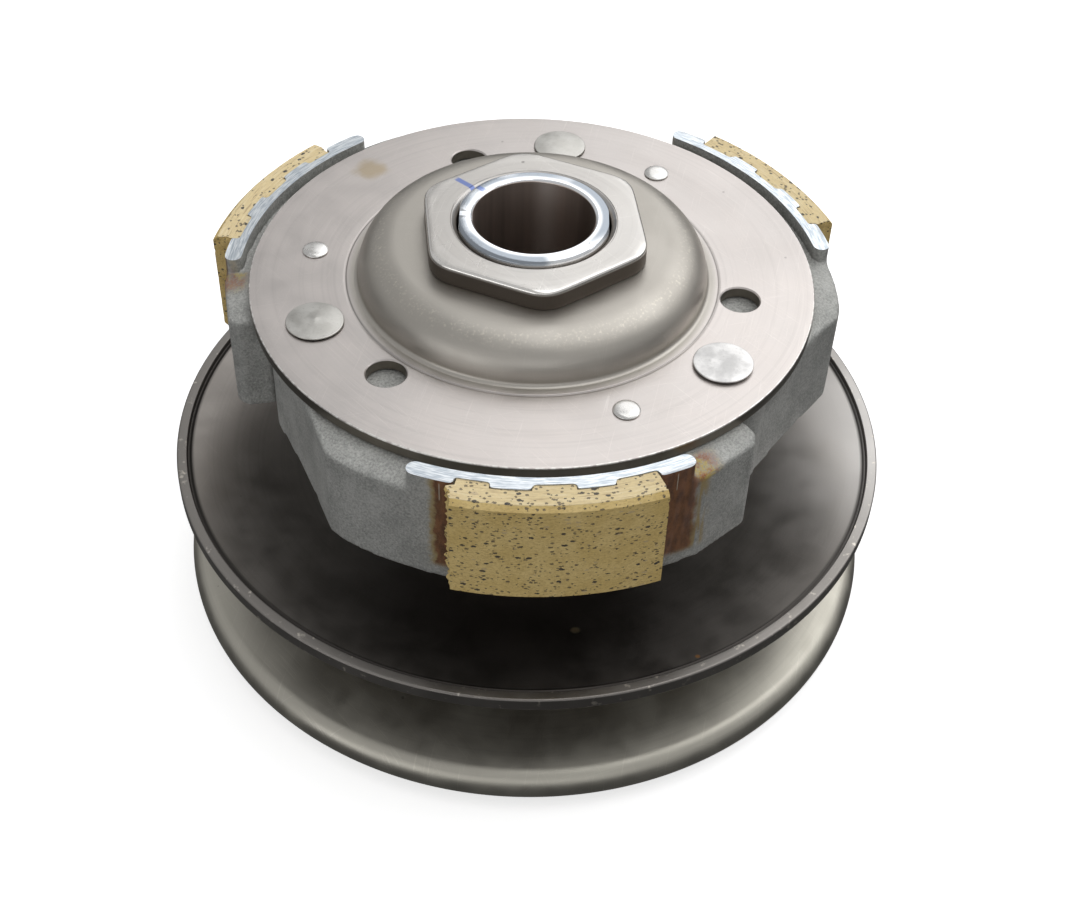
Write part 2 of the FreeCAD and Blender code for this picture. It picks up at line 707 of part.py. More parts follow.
def clutch_spring():
    """From a shoe's tail peg to the next shoe's heel peg: the coil as a tube, with an eye at each end."""
    start = polar(PEG_CIRCLE, PEG_TURNS["tail"], CLUTCH_SPRING_Z)
    end = polar(PEG_CIRCLE, PEG_TURNS["heel"] + 120, CLUTCH_SPRING_Z)
    along = (end - start).normalize()
    length = (end - start).Length
    coil_r, wire_r, eye_r = 2.8, 0.5, 1.9
    coil_gap = eye_r + 0.3
    coil_start = start + along * (coil_gap + wire_r)
    coil = Part.makeCylinder(coil_r, length - 2 * (coil_gap + wire_r), coil_start, along)
    hollow = Part.makeCylinder(coil_r - 0.55, length, start, along)
    near_end = Part.makeCylinder(coil_r - 0.5, 0.6, coil_start, along)
    far_end = Part.makeCylinder(coil_r - 0.5, 0.6, end - along * (coil_gap + wire_r + 0.6), along)
    eyes = [Part.makeTorus(eye_r, wire_r, at, UP) for at in (start, end)]
    links = [
        Part.makeCylinder(wire_r, 1.4, start + along * eye_r, along),
        Part.makeCylinder(wire_r, 1.4, end - along * (eye_r + 1.4), along),
    ]
    return coil.cut(hollow).fuse([near_end, far_end] + eyes + links)


# --- write one STEP file for each node ---
def build():
    save("fixed_sheave", fixed_sheave())
    save("fixed_sheave_rivets", fixed_rivets())
    save("drive_sleeve", drive_sleeve())
    save("ball_bearing_outer_ring", ball_ring(12.1, BALL_SEAT_R - 0.01))
    save("ball_bearing_inner_ring", ball_ring(7.5, 9.4))
    save("ball_bearing_balls", ball_set(BALL_R))
    save("ball_bearing_cage", ball_cage())
    save("ball_bearing_seals", ball_seals())
    save("bearing_circlip", bearing_circlip())
    save("needle_bearing_shell", needle_shell())
    save("needle_bearing_rollers", needle_set(NEEDLE_R, 0))
    save("needle_bearing_cage", needle_cage())
    save("guide_pins", guide_pins())
    save("movable_sheave", movable_sheave())
    save("movable_hub", movable_hub())
    save("movable_rivets", movable_rivets())
    save("hub_oil_seals", oil_seals())
    save("hub_o_rings", o_rings())
    save("seal_collar", seal_collar())
    save("spring_seat", spring_seat())
    save("contra_spring", contra_spring())
    save("drive_plate", drive_plate())
    save("clutch_nut", clutch_nut())
    save("pivot_pins", Part.makeCompound([pivot_pin(a) for a in PIVOT_ANGLES]))
    save("pivot_washers", Part.makeCompound([pivot_washer(a) for a in PIVOT_ANGLES]))
    save("pivot_clips", Part.makeCompound([pivot_clip(a) for a in PIVOT_ANGLES]))
    save("damper_pins", Part.makeCompound([damper_pin(a) for a in PIVOT_ANGLES]))
    save("damper_rubbers", Part.makeCompound([damper_rubber(a) for a in PIVOT_ANGLES]))
    for number, angle in enumerate(GUIDE_ANGLES, 1):
        save("guide_roller_%d" % number, guide_roller(angle))
    casting, pad, return_spring = shoe(), lining(), clutch_spring()
    for number, angle in enumerate(PIVOT_ANGLES, 1):
        save("shoe_%d" % number, spun(casting, angle))
        save("lining_%d" % number, spun(pad, angle))
        save("clutch_spring_%d" % number, spun(return_spring, angle))


build()
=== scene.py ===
import math

import bmesh
import bpy
from mathutils import Matrix, Vector, noise


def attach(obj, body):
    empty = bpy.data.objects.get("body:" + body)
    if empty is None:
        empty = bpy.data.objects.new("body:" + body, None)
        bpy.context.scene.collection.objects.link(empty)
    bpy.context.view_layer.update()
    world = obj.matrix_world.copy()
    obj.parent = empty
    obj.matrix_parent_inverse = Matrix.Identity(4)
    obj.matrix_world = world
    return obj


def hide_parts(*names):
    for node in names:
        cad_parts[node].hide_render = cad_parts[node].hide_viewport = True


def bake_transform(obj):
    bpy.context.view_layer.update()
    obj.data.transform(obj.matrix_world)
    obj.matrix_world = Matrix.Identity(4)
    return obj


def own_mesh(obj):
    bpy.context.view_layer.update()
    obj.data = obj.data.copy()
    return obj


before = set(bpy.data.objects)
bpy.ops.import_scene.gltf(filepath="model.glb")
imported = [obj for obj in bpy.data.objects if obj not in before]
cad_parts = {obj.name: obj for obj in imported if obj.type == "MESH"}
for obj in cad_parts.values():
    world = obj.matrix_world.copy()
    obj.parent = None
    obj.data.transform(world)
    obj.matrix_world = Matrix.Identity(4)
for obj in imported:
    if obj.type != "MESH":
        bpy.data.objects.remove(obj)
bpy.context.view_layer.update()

# Driven pulley with its centrifugal clutch: sizes in millimetres and degrees, as in the CAD source.
MM = 0.001
SEGMENTS = 384             # round the large turned pieces
SHEET = 2.6
RIM_R = 69.8
CONE_SLOPE = math.tan(math.radians(13.0))
FIXED_FLAT_R, FIXED_FLAT_Z = 24.0, 19.49
MOVABLE_FLAT_R, MOVABLE_RIM_Z, MOVABLE_RIM_TOP = 28.0, 30.69, 33.39
MOVABLE_FLAT_Z = MOVABLE_RIM_Z - (RIM_R - MOVABLE_FLAT_R) * CONE_SLOPE
ROLL_R, ROLL_Z = 3.87, 5.84
PLATE_TOP, PLATE_SHEET, PLATE_R = 71.5, 2.3, 52.08
DOME_TOP, DOME_WALL_R, DOME_BEND = 79.5, 32.2, 7.0
SLEEVE_TOP = 84.2
PIVOT_R, PIVOT_ANGLES = 41.86, (203.44, 323.44, 83.44)
DAMPER_R, DAMPER_TURN = 40.95, 90.35
TOOL_HOLE_CIRCLE, TOOL_HOLE_TURN, TOOL_HOLE_R = 38.6, 26.8, 3.55
SHOE_BOTTOM, SHOE_TOP, LAND_TOP = 48.7, 68.0, 71.6
SHOE_IN, SHOE_OUT, SEAT_R, TOOTH_R = 31.0, 57.3, 55.8, 57.0
SEAT_TURNS = (54.5, 89.1)
TEETH = ((60.6, 67.4), (74.9, 81.3))
LAND_IN, LAND_TURNS = 54.2, (46.0, 96.0)
LINING_R, LINING_TURNS, LINING_Z = 61.16, (54.9, 88.8), (49.44, 71.38)
LINING_BEVEL = 0.9
SPRING_ENDS = (29.05, 77.2)
PEG_CIRCLE, PEG_R = 34.0, 1.3
OWN_PEG, NEXT_PEG = 96, 140     # a clutch spring's pegs, the second of them on the next shoe
PEG_SPRING_Z = SHOE_BOTTOM - 3.4


# --- mesh helpers ---
def polar(radius, angle, z=0.0):
    a = math.radians(angle)
    return Vector((radius * math.cos(a), radius * math.sin(a), z))


def mesh_object(name, points, faces):
    """A closed mesh from points in millimetres, its faces turned outwards."""
    mesh = bpy.data.meshes.new(name)
    mesh.from_pydata([Vector(p) * MM for p in points], [], faces)
    work = bmesh.new()
    work.from_mesh(mesh)
    bmesh.ops.recalc_face_normals(work, faces=work.faces)
    work.to_mesh(mesh)
    work.free()
    obj = bpy.data.objects.new(name, mesh)
    bpy.context.scene.collection.objects.link(obj)
    return obj


def shade(obj, angle=32.0):
    obj.data.shade_smooth()
    obj.data.set_sharp_from_angle(angle=math.radians(angle))
    return obj


def rounded(corners, step=10.0):
    """A closed outline's points. Each corner is (x, y, radius of its rounding)."""
    points = []
    for i, (x, y, radius) in enumerate(corners):
        here = Vector((x, y))
        if radius == 0:
            points.append((x, y))
            continue
        back = (Vector(corners[i - 1][:2]) - here).normalized()
        ahead = (Vector(corners[(i + 1) % len(corners)][:2]) - here).normalized()
        half = back.angle(ahead) / 2
        centre = here + (back + ahead).normalized() * (radius / math.sin(half))
        first = here + back * (radius / math.tan(half)) - centre
        last = here + ahead * (radius / math.tan(half)) - centre
        start = math.atan2(first.y, first.x)
        sweep = math.remainder(math.atan2(last.y, last.x) - start, 2 * math.pi)
        count = max(2, math.ceil(abs(math.degrees(sweep)) / step))
        for k in range(count + 1):
            a = start + sweep * k / count
            points.append((centre.x + radius * math.cos(a), centre.y + radius * math.sin(a)))
    return points


def lofted(name, rings, closed):
    """Skins rings of points. A one-point ring ends the skin; closed joins the last ring to the first."""
    points, rows = [], []
    for ring in rings:
        rows.append(range(len(points), len(points) + len(ring)))
        points.extend(ring)
    pairs = list(zip(rows, rows[1:])) + ([(rows[-1], rows[0])] if closed else [])
    faces = []
    for a, b in pairs:
        count = max(len(a), len(b))
        for i in range(count):
            j = (i + 1) % count
            corners = [a[i % len(a)], a[j % len(a)], b[j % len(b)], b[i % len(b)]]
            faces.append(list(dict.fromkeys(corners)))
    return mesh_object(name, points, faces)


def turned(name, profile, segments=SEGMENTS, centre=Vector((0, 0, 0)), radius_at=None):
    """A solid of revolution. Its section closes on itself, or on the axis if it starts and ends there."""
    rings = []
    for r, z in profile:
        if r < 1e-9:
            rings.append([centre + Vector((0, 0, z))])
            continue
        ring = []
        for i in range(segments):
            angle = 360 * i / segments
            radius = radius_at(r, z, angle) if radius_at else r
            ring.append(centre + polar(radius, angle, z))
        rings.append(ring)
    return lofted(name, rings, closed=len(rings[0]) > 1)


def spread(first, last, count):
    """Points along a straight run of a section, without its ends."""
    a, b = Vector(first), Vector(last)
    return [(*a.lerp(b, i / count), 0) for i in range(1, count)]


def bend(centre, radius, first, last, step=6.0):
    """Points along an arc of a section, its angles from +r towards +z."""
    count = math.ceil(abs(last - first) / step)
    points = []
    for i in range(count + 1):
        a = math.radians(first + (last - first) * i / count)
        points.append((centre[0] + radius * math.cos(a), centre[1] + radius * math.sin(a), 0))
    return points


def extruded(name, outline, z_low, z_high):
    count = len(outline)
    points = [(x, y, z) for z in (z_low, z_high) for x, y in outline]
    faces = [list(range(count)), list(range(count, 2 * count))]
    faces += [(i, (i + 1) % count, count + (i + 1) % count, count + i) for i in range(count)]
    return mesh_object(name, points, faces)


def applied(obj):
    """Turns the object's modifiers into its mesh."""
    shape = obj.evaluated_get(bpy.context.evaluated_depsgraph_get())
    obj.data = bpy.data.meshes.new_from_object(shape)
    obj.modifiers.clear()
    return obj


def combined(obj, others, operation):
    for other in others:
        step = obj.modifiers.new(operation, "BOOLEAN")
        step.operation = operation
        step.solver = "EXACT"
        step.object = other
    applied(obj)
    for other in others:
        bpy.data.objects.remove(other)
    return obj


def disc(radius, centre, z_low, z_high, segments=64):
    profile = [(0, z_low), (radius, z_low), (radius, z_high), (0, z_high)]
    return turned("tool", profile, segments, Vector((centre.x, centre.y, 0)))


def wire(name, path, radius, sides):
    """A round wire along a path, its ends rounded over."""
    along = [(b - a).normalized() for a, b in zip(path, path[1:])]
    along.append(along[-1])
    side = along[0].orthogonal().normalized()
    rings = [[path[0] - along[0] * radius * 0.3]]
    for i, (point, direction) in enumerate(zip(path, along)):
        side = (side - direction * side.dot(direction)).normalized()
        up = direction.cross(side)
        size = radius * (0.8 if i in (0, len(path) - 1) else 1.0)
        turns = [2 * math.pi * k / sides for k in range(sides)]
        rings.append([point + (side * math.cos(t) + up * math.sin(t)) * size for t in turns])
    rings.append([path[-1] + along[-1] * radius * 0.3])
    return shade(lofted(name, rings, closed=False), 60)


# --- material helpers ---
class Surface:
    """One procedural material. Lengths are in millimetres in the object's own coordinates.

    A piece that is a copy turned round the axis gives its turn, so that its material turns with it.
    """

    def __init__(self, name, turned=0.0):
        self.material = bpy.data.materials.new(name)
        self.material.use_nodes = True
        self.tree = self.material.node_tree
        self.shader = self.tree.nodes["Principled BSDF"]
        coordinates = self.node("ShaderNodeTexCoord").outputs["Object"]
        inputs = {"Vector": self.vector("SCALE", coordinates, scale=1 / MM), "Angle": -math.radians(turned)}
        self.place = self.node("ShaderNodeVectorRotate", inputs, rotation_type="Z_AXIS").outputs[0]
        split = self.node("ShaderNodeSeparateXYZ", {0: self.place})
        self.x, self.y, self.z = split.outputs
        flat = self.calc("ADD", self.calc("POWER", self.x, 2.0), self.calc("POWER", self.y, 2.0))
        self.r = self.calc("SQRT", flat)
        self.turn = self.calc("MULTIPLY", self.calc("ARCTAN2", self.y, self.x), math.degrees(1))
        self.normal = None

    def node(self, kind, inputs=None, **settings):
        node = self.tree.nodes.new(kind)
        for key, value in settings.items():
            setattr(node, key, value)
        for key, value in (inputs or {}).items():
            if isinstance(value, bpy.types.NodeSocket):
                self.tree.links.new(value, node.inputs[key])
            else:
                node.inputs[key].default_value = value
        return node

    def calc(self, operation, a, b=0.0, clamp=False):
        return self.node("ShaderNodeMath", {0: a, 1: b}, operation=operation, use_clamp=clamp).outputs[0]

    def vector(self, operation, a, b=(0, 0, 0), scale=1.0):
        inputs = {0: a, 3: scale} if operation == "SCALE" else {0: a, 1: b}
        return self.node("ShaderNodeVectorMath", inputs, operation=operation).outputs[0]

    def joined(self, x, y, z):
        return self.node("ShaderNodeCombineXYZ", {0: x, 1: y, 2: z}).outputs[0]

    def noise(self, size, detail=2.0, seed=0.0, stretch=(1, 1, 1), place=None, rough=0.5):
        """Noise from 0 to 1 about 0.5, its lumps about that size, longer where stretch is small."""
        at = self.vector("MULTIPLY", place or self.place, stretch)
        inputs = {"Vector": at, "W": seed, "Scale": 1 / size, "Detail": detail, "Roughness": rough}
        return self.node("ShaderNodeTexNoise", inputs, noise_dimensions="4D").outputs[0]

    def between(self, value, low, high):
        """0 at low and 1 at high, smooth between them; low may be the larger."""
        inputs = {"Value": value, "From Min": low, "From Max": high}
        return self.node("ShaderNodeMapRange", inputs, interpolation_type="SMOOTHSTEP").outputs[0]

    def band(self, value, low, high, soft):
        rise = self.between(value, low - soft, low + soft)
        return self.calc("MULTIPLY", rise, self.between(value, high + soft, high - soft))

    def times(self, *factors):
        product = factors[0]
        for factor in factors[1:]:
            product = self.calc("MULTIPLY", product, factor)
        return product

    def most(self, a, b):
        return self.calc("MAXIMUM", a, b)

    def mix(self, share, a, b):
        """Colour a turning into colour b."""
        a, b = [(*c, 1.0) if isinstance(c, tuple) and len(c) == 3 else c for c in (a, b)]
        inputs = {0: share, 6: a, 7: b}
        return self.node("ShaderNodeMix", inputs, data_type="RGBA").outputs[2]

    def blend(self, share, a, b):
        return self.node("ShaderNodeMix", {0: share, 2: a, 3: b}, data_type="FLOAT").outputs[0]

    def spots(self, size, share, reach, seed=0.0, place=None, stretch=(1, 1, 1)):
        """Scattered specks: that share of the cells of that size hold one, its radius up to reach cells."""
        at = self.vector("MULTIPLY", place or self.place, stretch)
        at = self.vector("ADD", at, (seed * 13.1, seed * 7.7, seed * 3.3))
        cells = self.node("ShaderNodeTexVoronoi", {"Vector": at, "Scale": 1 / size})
        chance = self.node("ShaderNodeSeparateColor", {0: cells.outputs["Color"]}).outputs
        chosen = self.calc("LESS_THAN", chance[0], share)
        radius = self.calc("MULTIPLY", chance[1], reach)
        inside = self.calc("SUBTRACT", radius, cells.outputs["Distance"])
        return self.calc("MULTIPLY", chosen, self.between(inside, 0.0, 0.06))

    def seamless_turn(self):
        """Changes round the axis with no seam, so that streaks fade along their length."""
        return self.times(self.calc("DIVIDE", self.x, self.calc("ADD", self.r, 0.1)), 1.6)

    def near(self, point, inner, outer, wander=0.0):
        """1 within inner of a point in plan, 0 beyond outer; the outline strays up to half of wander."""
        dx = self.calc("SUBTRACT", self.x, point.x)
        dy = self.calc("SUBTRACT", self.y, point.y)
        away = self.calc("SQRT", self.calc("ADD", self.times(dx, dx), self.times(dy, dy)))
        if wander:
            lumps = self.calc("SUBTRACT", self.noise(3.0, 3, 63.0), 0.5)
            away = self.calc("ADD", away, self.times(lumps, wander))
        return self.between(away, outer, inner)

    def stroke(self, first, last, width):
        """1 along a straight stroke between two points in plan."""
        run = last - first
        along, across = run.normalized(), Vector((-run.y, run.x, 0)).normalized()
        dx = self.calc("SUBTRACT", self.x, first.x)
        dy = self.calc("SUBTRACT", self.y, first.y)
        u = self.calc("ADD", self.times(dx, along.x), self.times(dy, along.y))
        v = self.calc("ADD", self.times(dx, across.x), self.times(dy, across.y))
        return self.times(self.band(u, 0.0, run.length, 0.4), self.band(v, -width / 2, width / 2, 0.15))

    def scratches(self, seed, wanted=0.70, long=9.0, fine=0.16):
        """Thin hairlines in three directions on faces across the axis."""
        marks = None
        for i, angle in enumerate((17.0, 78.0, 131.0)):
            a = math.radians(angle)
            u = self.calc("ADD", self.times(self.x, math.cos(a)), self.times(self.y, math.sin(a)))
            v = self.calc("SUBTRACT", self.times(self.y, math.cos(a)), self.times(self.x, math.sin(a)))
            place = self.joined(self.times(u, 1 / long), self.times(v, 1 / fine), self.times(self.z, 0.1))
            lines = self.noise(1.0, 0.0, seed + 3.7 * i, place=place)
            line = self.between(lines, wanted, wanted + 0.07)
            marks = self.most(marks, line) if marks else line
        return marks

    def bump(self, height, depth):
        """Raises the surface by depth millimetres where height is 1."""
        inputs = {"Height": height, "Distance": depth * MM, "Strength": 1.0}
        if self.normal:
            inputs["Normal"] = self.normal
        self.normal = self.node("ShaderNodeBump", inputs).outputs["Normal"]

    def finish(self, colour, roughness, metallic, **constants):
        for key, value in (("Base Color", colour), ("Roughness", roughness), ("Metallic", metallic)):
            if isinstance(value, bpy.types.NodeSocket):
                self.tree.links.new(value, self.shader.inputs[key])
            else:
                self.shader.inputs[key].default_value = value
        for key, value in constants.items():
            self.shader.inputs[key.replace("_", " ")].default_value = value
        if self.normal:
            self.tree.links.new(self.normal, self.shader.inputs["Normal"])
        return self.material


def dress(obj, material):
    obj.data.materials.clear()
    obj.data.materials.append(material)
    return obj


# --- materials ---
def pressed_steel(name, light, dark, roughness, seed, wear=1.0, extra=None):
    """Satin pressed steel: mottled, faintly streaked round the axis, with hairlines and pits."""
    s = Surface(name)
    cloud = s.noise(38, 3, seed)
    patch = s.noise(7, 3, seed + 1)
    tone = s.calc("ADD", s.times(cloud, 0.62), s.times(patch, 0.38))
    colour = s.mix(s.between(tone, 0.34, 0.66), dark, light)
    around = s.joined(s.r, s.z, s.seamless_turn())
    streaks = s.noise(0.55, 3, seed + 2, place=around)
    colour = s.mix(s.times(s.between(streaks, 0.45, 0.75), 0.22), colour, tuple(0.72 * c for c in dark))
    hairs = s.times(s.scratches(seed + 5), 0.55 * wear)
    colour = s.mix(s.times(hairs, 0.5), colour, tuple(min(1.0, 1.35 * c) for c in light))
    pits = s.spots(2.6, 0.10, 0.16, seed + 9)
    colour = s.mix(s.times(pits, 0.7 * wear), colour, tuple(0.25 * c for c in dark))
    grain = s.noise(0.16, 2, seed + 3)
    rough = s.blend(s.between(patch, 0.3, 0.7), roughness - 0.05, roughness + 0.06)
    rough = s.calc("SUBTRACT", rough, s.times(hairs, 0.12))
    s.bump(grain, 0.006)
    s.bump(streaks, 0.006)
    s.bump(s.calc("ADD", s.times(hairs, -1.0), s.times(pits, -2.0)), 0.012)
    metallic = 1.0
    if extra:
        colour, rough, metallic = extra(s, colour, rough)
    return s.finish(colour, rough, metallic)


def plate_extras(s, colour, rough):
    """The drive plate's duller dome, speckled bend, nicked edge, darker cut edge and a tan stain, with
    painted shade on its upper-left side, in the groove round the dome and on its hole walls.
    """
    dome = s.between(s.r, 34.6, 33.0)
    # Painted shade darkens the plate towards its upper-left, fading out towards the front-right.
    painted_lit_side = s.between(s.calc("SUBTRACT", s.times(s.x, 0.6), s.y), -50.0, 60.0)
    colour = s.mix(s.times(s.calc("SUBTRACT", 1.0, painted_lit_side), 0.30), colour, (0.46, 0.435, 0.42))
    colour = s.mix(s.times(dome, 0.75), colour, (0.43, 0.41, 0.365))
    rubbed = s.times(s.band(s.r, 27.0, 29.6, 1.2), s.between(s.z, 76.0, 78.0))
    sparkle = s.between(s.noise(0.45, 3, 61.0), 0.50, 0.74)
    colour = s.mix(s.times(rubbed, sparkle, 0.45), colour, (0.80, 0.76, 0.66))
    rough = s.calc("ADD", rough, s.times(dome, 0.07))
    # Painted shade in the groove round the foot of the dome.
    groove = s.band(s.r, 34.25, 34.75, 0.25)
    colour = s.mix(s.times(groove, 0.35), colour, (0.14, 0.13, 0.12))
    stain = s.near(polar(45.3, 136.0), 1.2, 4.4, 4.5)
    colour = s.mix(s.times(stain, 0.6), colour, (0.46, 0.35, 0.185))
    rim = s.times(s.between(s.r, PLATE_R - 0.32, PLATE_R - 0.12), s.between(s.z, 71.0, 71.3))
    nicks = s.between(s.noise(0.9, 3, 64.0), 0.38, 0.6)
    colour = s.mix(s.times(rim, nicks), colour, (0.92, 0.90, 0.86))
    # Darkens the plate's outer cut edge, and paints shade on the walls of the tool holes.
    side = s.times(s.between(s.r, PLATE_R - 0.1, PLATE_R - 0.02), s.between(s.z, 71.3, 71.1))
    for angle in PIVOT_ANGLES:
        hole = s.near(polar(TOOL_HOLE_CIRCLE, angle + TOOL_HOLE_TURN), 3.75, 3.9)
        side = s.most(side, s.times(hole, s.between(s.z, 71.3, 71.1)))
    colour = s.mix(s.times(side, 0.85), colour, (0.165, 0.145, 0.112))
    return colour, rough, 1.0


def lining_material(seed, angle):
    """Bonded friction stock: tan, flecked with black and grey, machined lengthwise on its top face."""
    s = Surface("lining_stock_%d" % seed, angle)
    around = s.joined(s.times(s.turn, 1.05), s.z, s.r)
    cloud = s.noise(5.0, 4, seed, place=around)
    colour = s.mix(s.between(cloud, 0.3, 0.7), (0.68, 0.50, 0.185), (0.79, 0.605, 0.26))
    grain = s.noise(0.35, 4, seed + 1, stretch=(0.6, 1.4, 1), place=around, rough=0.65)
    colour = s.mix(s.times(s.between(grain, 0.40, 0.70), 0.55), colour, (0.42, 0.28, 0.10))
    # Paler top face: partly the machined face's own colour, partly painted light falling from above.
    top = s.between(s.z, LINING_Z[1] - 0.12, LINING_Z[1] - 0.04)
    colour = s.mix(s.times(top, 0.55), colour, (0.84, 0.72, 0.48))
    lines = s.noise(0.24, 3, seed + 2, stretch=(0.07, 1, 1), place=around)
    streak = s.times(top, s.between(lines, 0.55, 0.70))
    colour = s.mix(s.times(streak, 0.65), colour, (0.40, 0.28, 0.17))
    fresh = s.times(top, s.between(lines, 0.5, 0.3))
    colour = s.mix(s.times(fresh, 0.6), colour, (0.88, 0.77, 0.54))
    bevel = s.band(s.calc("ADD", s.r, s.z), LINING_R + LINING_Z[1] - LINING_BEVEL, 150.0, 0.05)
    colour = s.mix(s.times(bevel, 0.25), colour, (0.74, 0.58, 0.32))
    ragged = s.joined(s.noise(0.3, 2, seed + 8), s.noise(0.3, 2, seed + 9), s.noise(0.3, 2, seed + 10))
    ragged = s.vector("ADD", around, s.vector("SCALE", ragged, scale=0.5))
    big = s.spots(1.10, 0.50, 0.34, seed + 3, ragged, (0.62, 1.15, 1.0))
    small = s.spots(0.60, 0.75, 0.46, seed + 4, ragged, (0.7, 1.2, 1.0))
    pale = s.spots(1.0, 0.20, 0.4, seed + 5, ragged, (0.6, 1.3, 1.0))
    colour = s.mix(s.times(pale, 0.35), colour, (0.40, 0.33, 0.28))
    colour = s.mix(s.times(small, 0.78), colour, (0.085, 0.07, 0.055))
    colour = s.mix(s.times(big, 0.9), colour, (0.032, 0.034, 0.040))
    s.bump(grain, 0.09)
    s.bump(s.times(top, lines), 0.03)
    s.bump(s.times(s.most(big, small), -1.0), 0.05)
    rough = s.blend(s.most(big, small), 0.80, 0.55)
    return s.finish(colour, rough, 0.0)


def casting_material(seed, angle, stained):
    """Die-cast aluminium with a machined land, and dried adhesive on the wall beside the lining."""
    s = Surface("cast_shoe_%d" % seed, angle)
    cloud = s.noise(6.0, 4, seed)
    grain = s.noise(0.42, 4, seed + 1, rough=0.7)
    fine = s.noise(0.16, 2, seed + 2)
    tone = s.calc("ADD", s.times(cloud, 0.3), s.times(grain, 0.7))
    colour = s.mix(s.between(tone, 0.36, 0.64), (0.29, 0.293, 0.28), (0.56, 0.563, 0.54))
    sparkle = s.between(fine, 0.62, 0.8)
    colour = s.mix(s.times(sparkle, 0.5), colour, (0.80, 0.81, 0.80))
    dim = s.between(s.noise(1.3, 4, seed + 3, rough=0.75), 0.60, 0.74)
    colour = s.mix(s.times(dim, 0.6), colour, (0.12, 0.122, 0.115))
    wall = s.between(s.r, 56.6, 57.0)
    edge = s.times(s.calc("SUBTRACT", s.noise(1.6, 4, seed + 4, rough=0.6), 0.5), 2.4)
    turn = s.calc("ADD", s.turn, edge)
    low = s.between(s.z, 50.6, 52.4)
    left = s.times(s.between(turn, 51.0, 51.8), s.between(s.turn, 56.0, 55.0))
    right = s.times(s.between(s.turn, 88.0, 89.0), s.between(turn, 96.9, 95.5))
    glue = s.times(s.most(left, right), wall, low)
    fringe_left = s.times(s.between(turn, 49.9, 51.2), s.between(s.turn, 56.0, 55.0))
    runs = s.between(s.noise(0.9, 3, seed + 8, stretch=(1, 1, 0.12)), 0.36, 0.58)
    fringe_right = s.times(s.between(s.turn, 90.0, 92.0), s.between(turn, 99.8, 97.4), runs)
    fringe = s.times(s.most(fringe_left, fringe_right), wall, low)
    tail = s.times(
        s.between(s.turn, 95.6, 96.4),
        s.between(turn, 103.0, 99.0),
        s.between(s.z, 66.6, 67.6),
        s.between(s.r, 52.0, 54.0),
    )
    ochre = s.mix(s.noise(0.8, 4, seed + 5), (0.30, 0.20, 0.075), (0.42, 0.33, 0.15))
    colour = s.mix(s.times(fringe, 0.88 * stained), colour, ochre)
    burnt = s.mix(s.between(s.noise(1.4, 4, seed + 9), 0.42, 0.58), (0.32, 0.10, 0.025), (0.50, 0.37, 0.08))
    colour = s.mix(s.times(tail, s.between(grain, 0.3, 0.6), 0.9 * stained), colour, burnt)
    rust = s.mix(s.between(s.noise(1.1, 4, seed + 6, stretch=(1, 1, 0.4)), 0.35, 0.65),
                 (0.105, 0.042, 0.020), (0.215, 0.092, 0.042))
    colour = s.mix(s.times(glue, 0.93 * stained), colour, rust)
    scored = s.times(
        s.most(s.band(s.turn, 52.25, 52.4, 0.06), s.band(s.turn, 92.0, 92.15, 0.06)),
        s.band(s.z, 67.2, 70.9, 0.3),
        wall,
    )
    colour = s.mix(s.times(scored, 0.7), colour, (0.62, 0.58, 0.50))
    cut = s.between(s.z, LAND_TOP - 0.05, LAND_TOP - 0.02)
    around = s.joined(s.times(s.turn, 0.9), s.r, 0.0)
    lines = s.noise(0.22, 3, seed + 7, stretch=(0.10, 1, 1), place=around)
    bright = s.mix(s.between(lines, 0.34, 0.66), (0.48, 0.54, 0.60), (0.86, 0.90, 0.93))
    colour = s.mix(cut, colour, bright)
    coated = s.times(s.most(glue, s.times(fringe, 0.7)), stained)
    metallic = s.calc("MULTIPLY", s.blend(cut, 0.35, 1.0), s.calc("SUBTRACT", 1.0, coated))
    rough = s.blend(cut, s.blend(s.between(grain, 0.3, 0.7), 0.48, 0.62), 0.34)
    rough = s.blend(s.times(glue, stained), rough, 0.55)
    body = s.calc("SUBTRACT", 1.0, cut)
    s.bump(s.times(grain, body), 0.20)
    s.bump(s.times(fine, body), 0.05)
    s.bump(s.times(lines, cut), 0.02)
    return s.finish(colour, rough, metallic)


INK_STROKE = (Vector((-14.6, 11.8, 0)), Vector((-9.2, 7.2, 0)))


def nut_extras(s, colour, rough):
    """Dark brown sides, a painted highlight on the top edges and a stroke of blue ink."""
    side = s.between(s.z, 82.9, 82.4)
    colour = s.mix(s.times(side, 0.88), colour, (0.075, 0.056, 0.040))
    # Painted highlight along the soft top edges.
    edge = s.times(s.band(s.z, 82.95, 83.44, 0.1), s.between(s.r, 18.0, 18.6))
    colour = s.mix(s.times(edge, 0.8), colour, (0.92, 0.90, 0.87))
    rough = s.blend(edge, rough, 0.22)
    colour = s.mix(s.times(s.stroke(*INK_STROKE, 1.1), 0.75), colour, (0.08, 0.16, 0.50))
    return colour, s.blend(side, rough, 0.5), 1.0


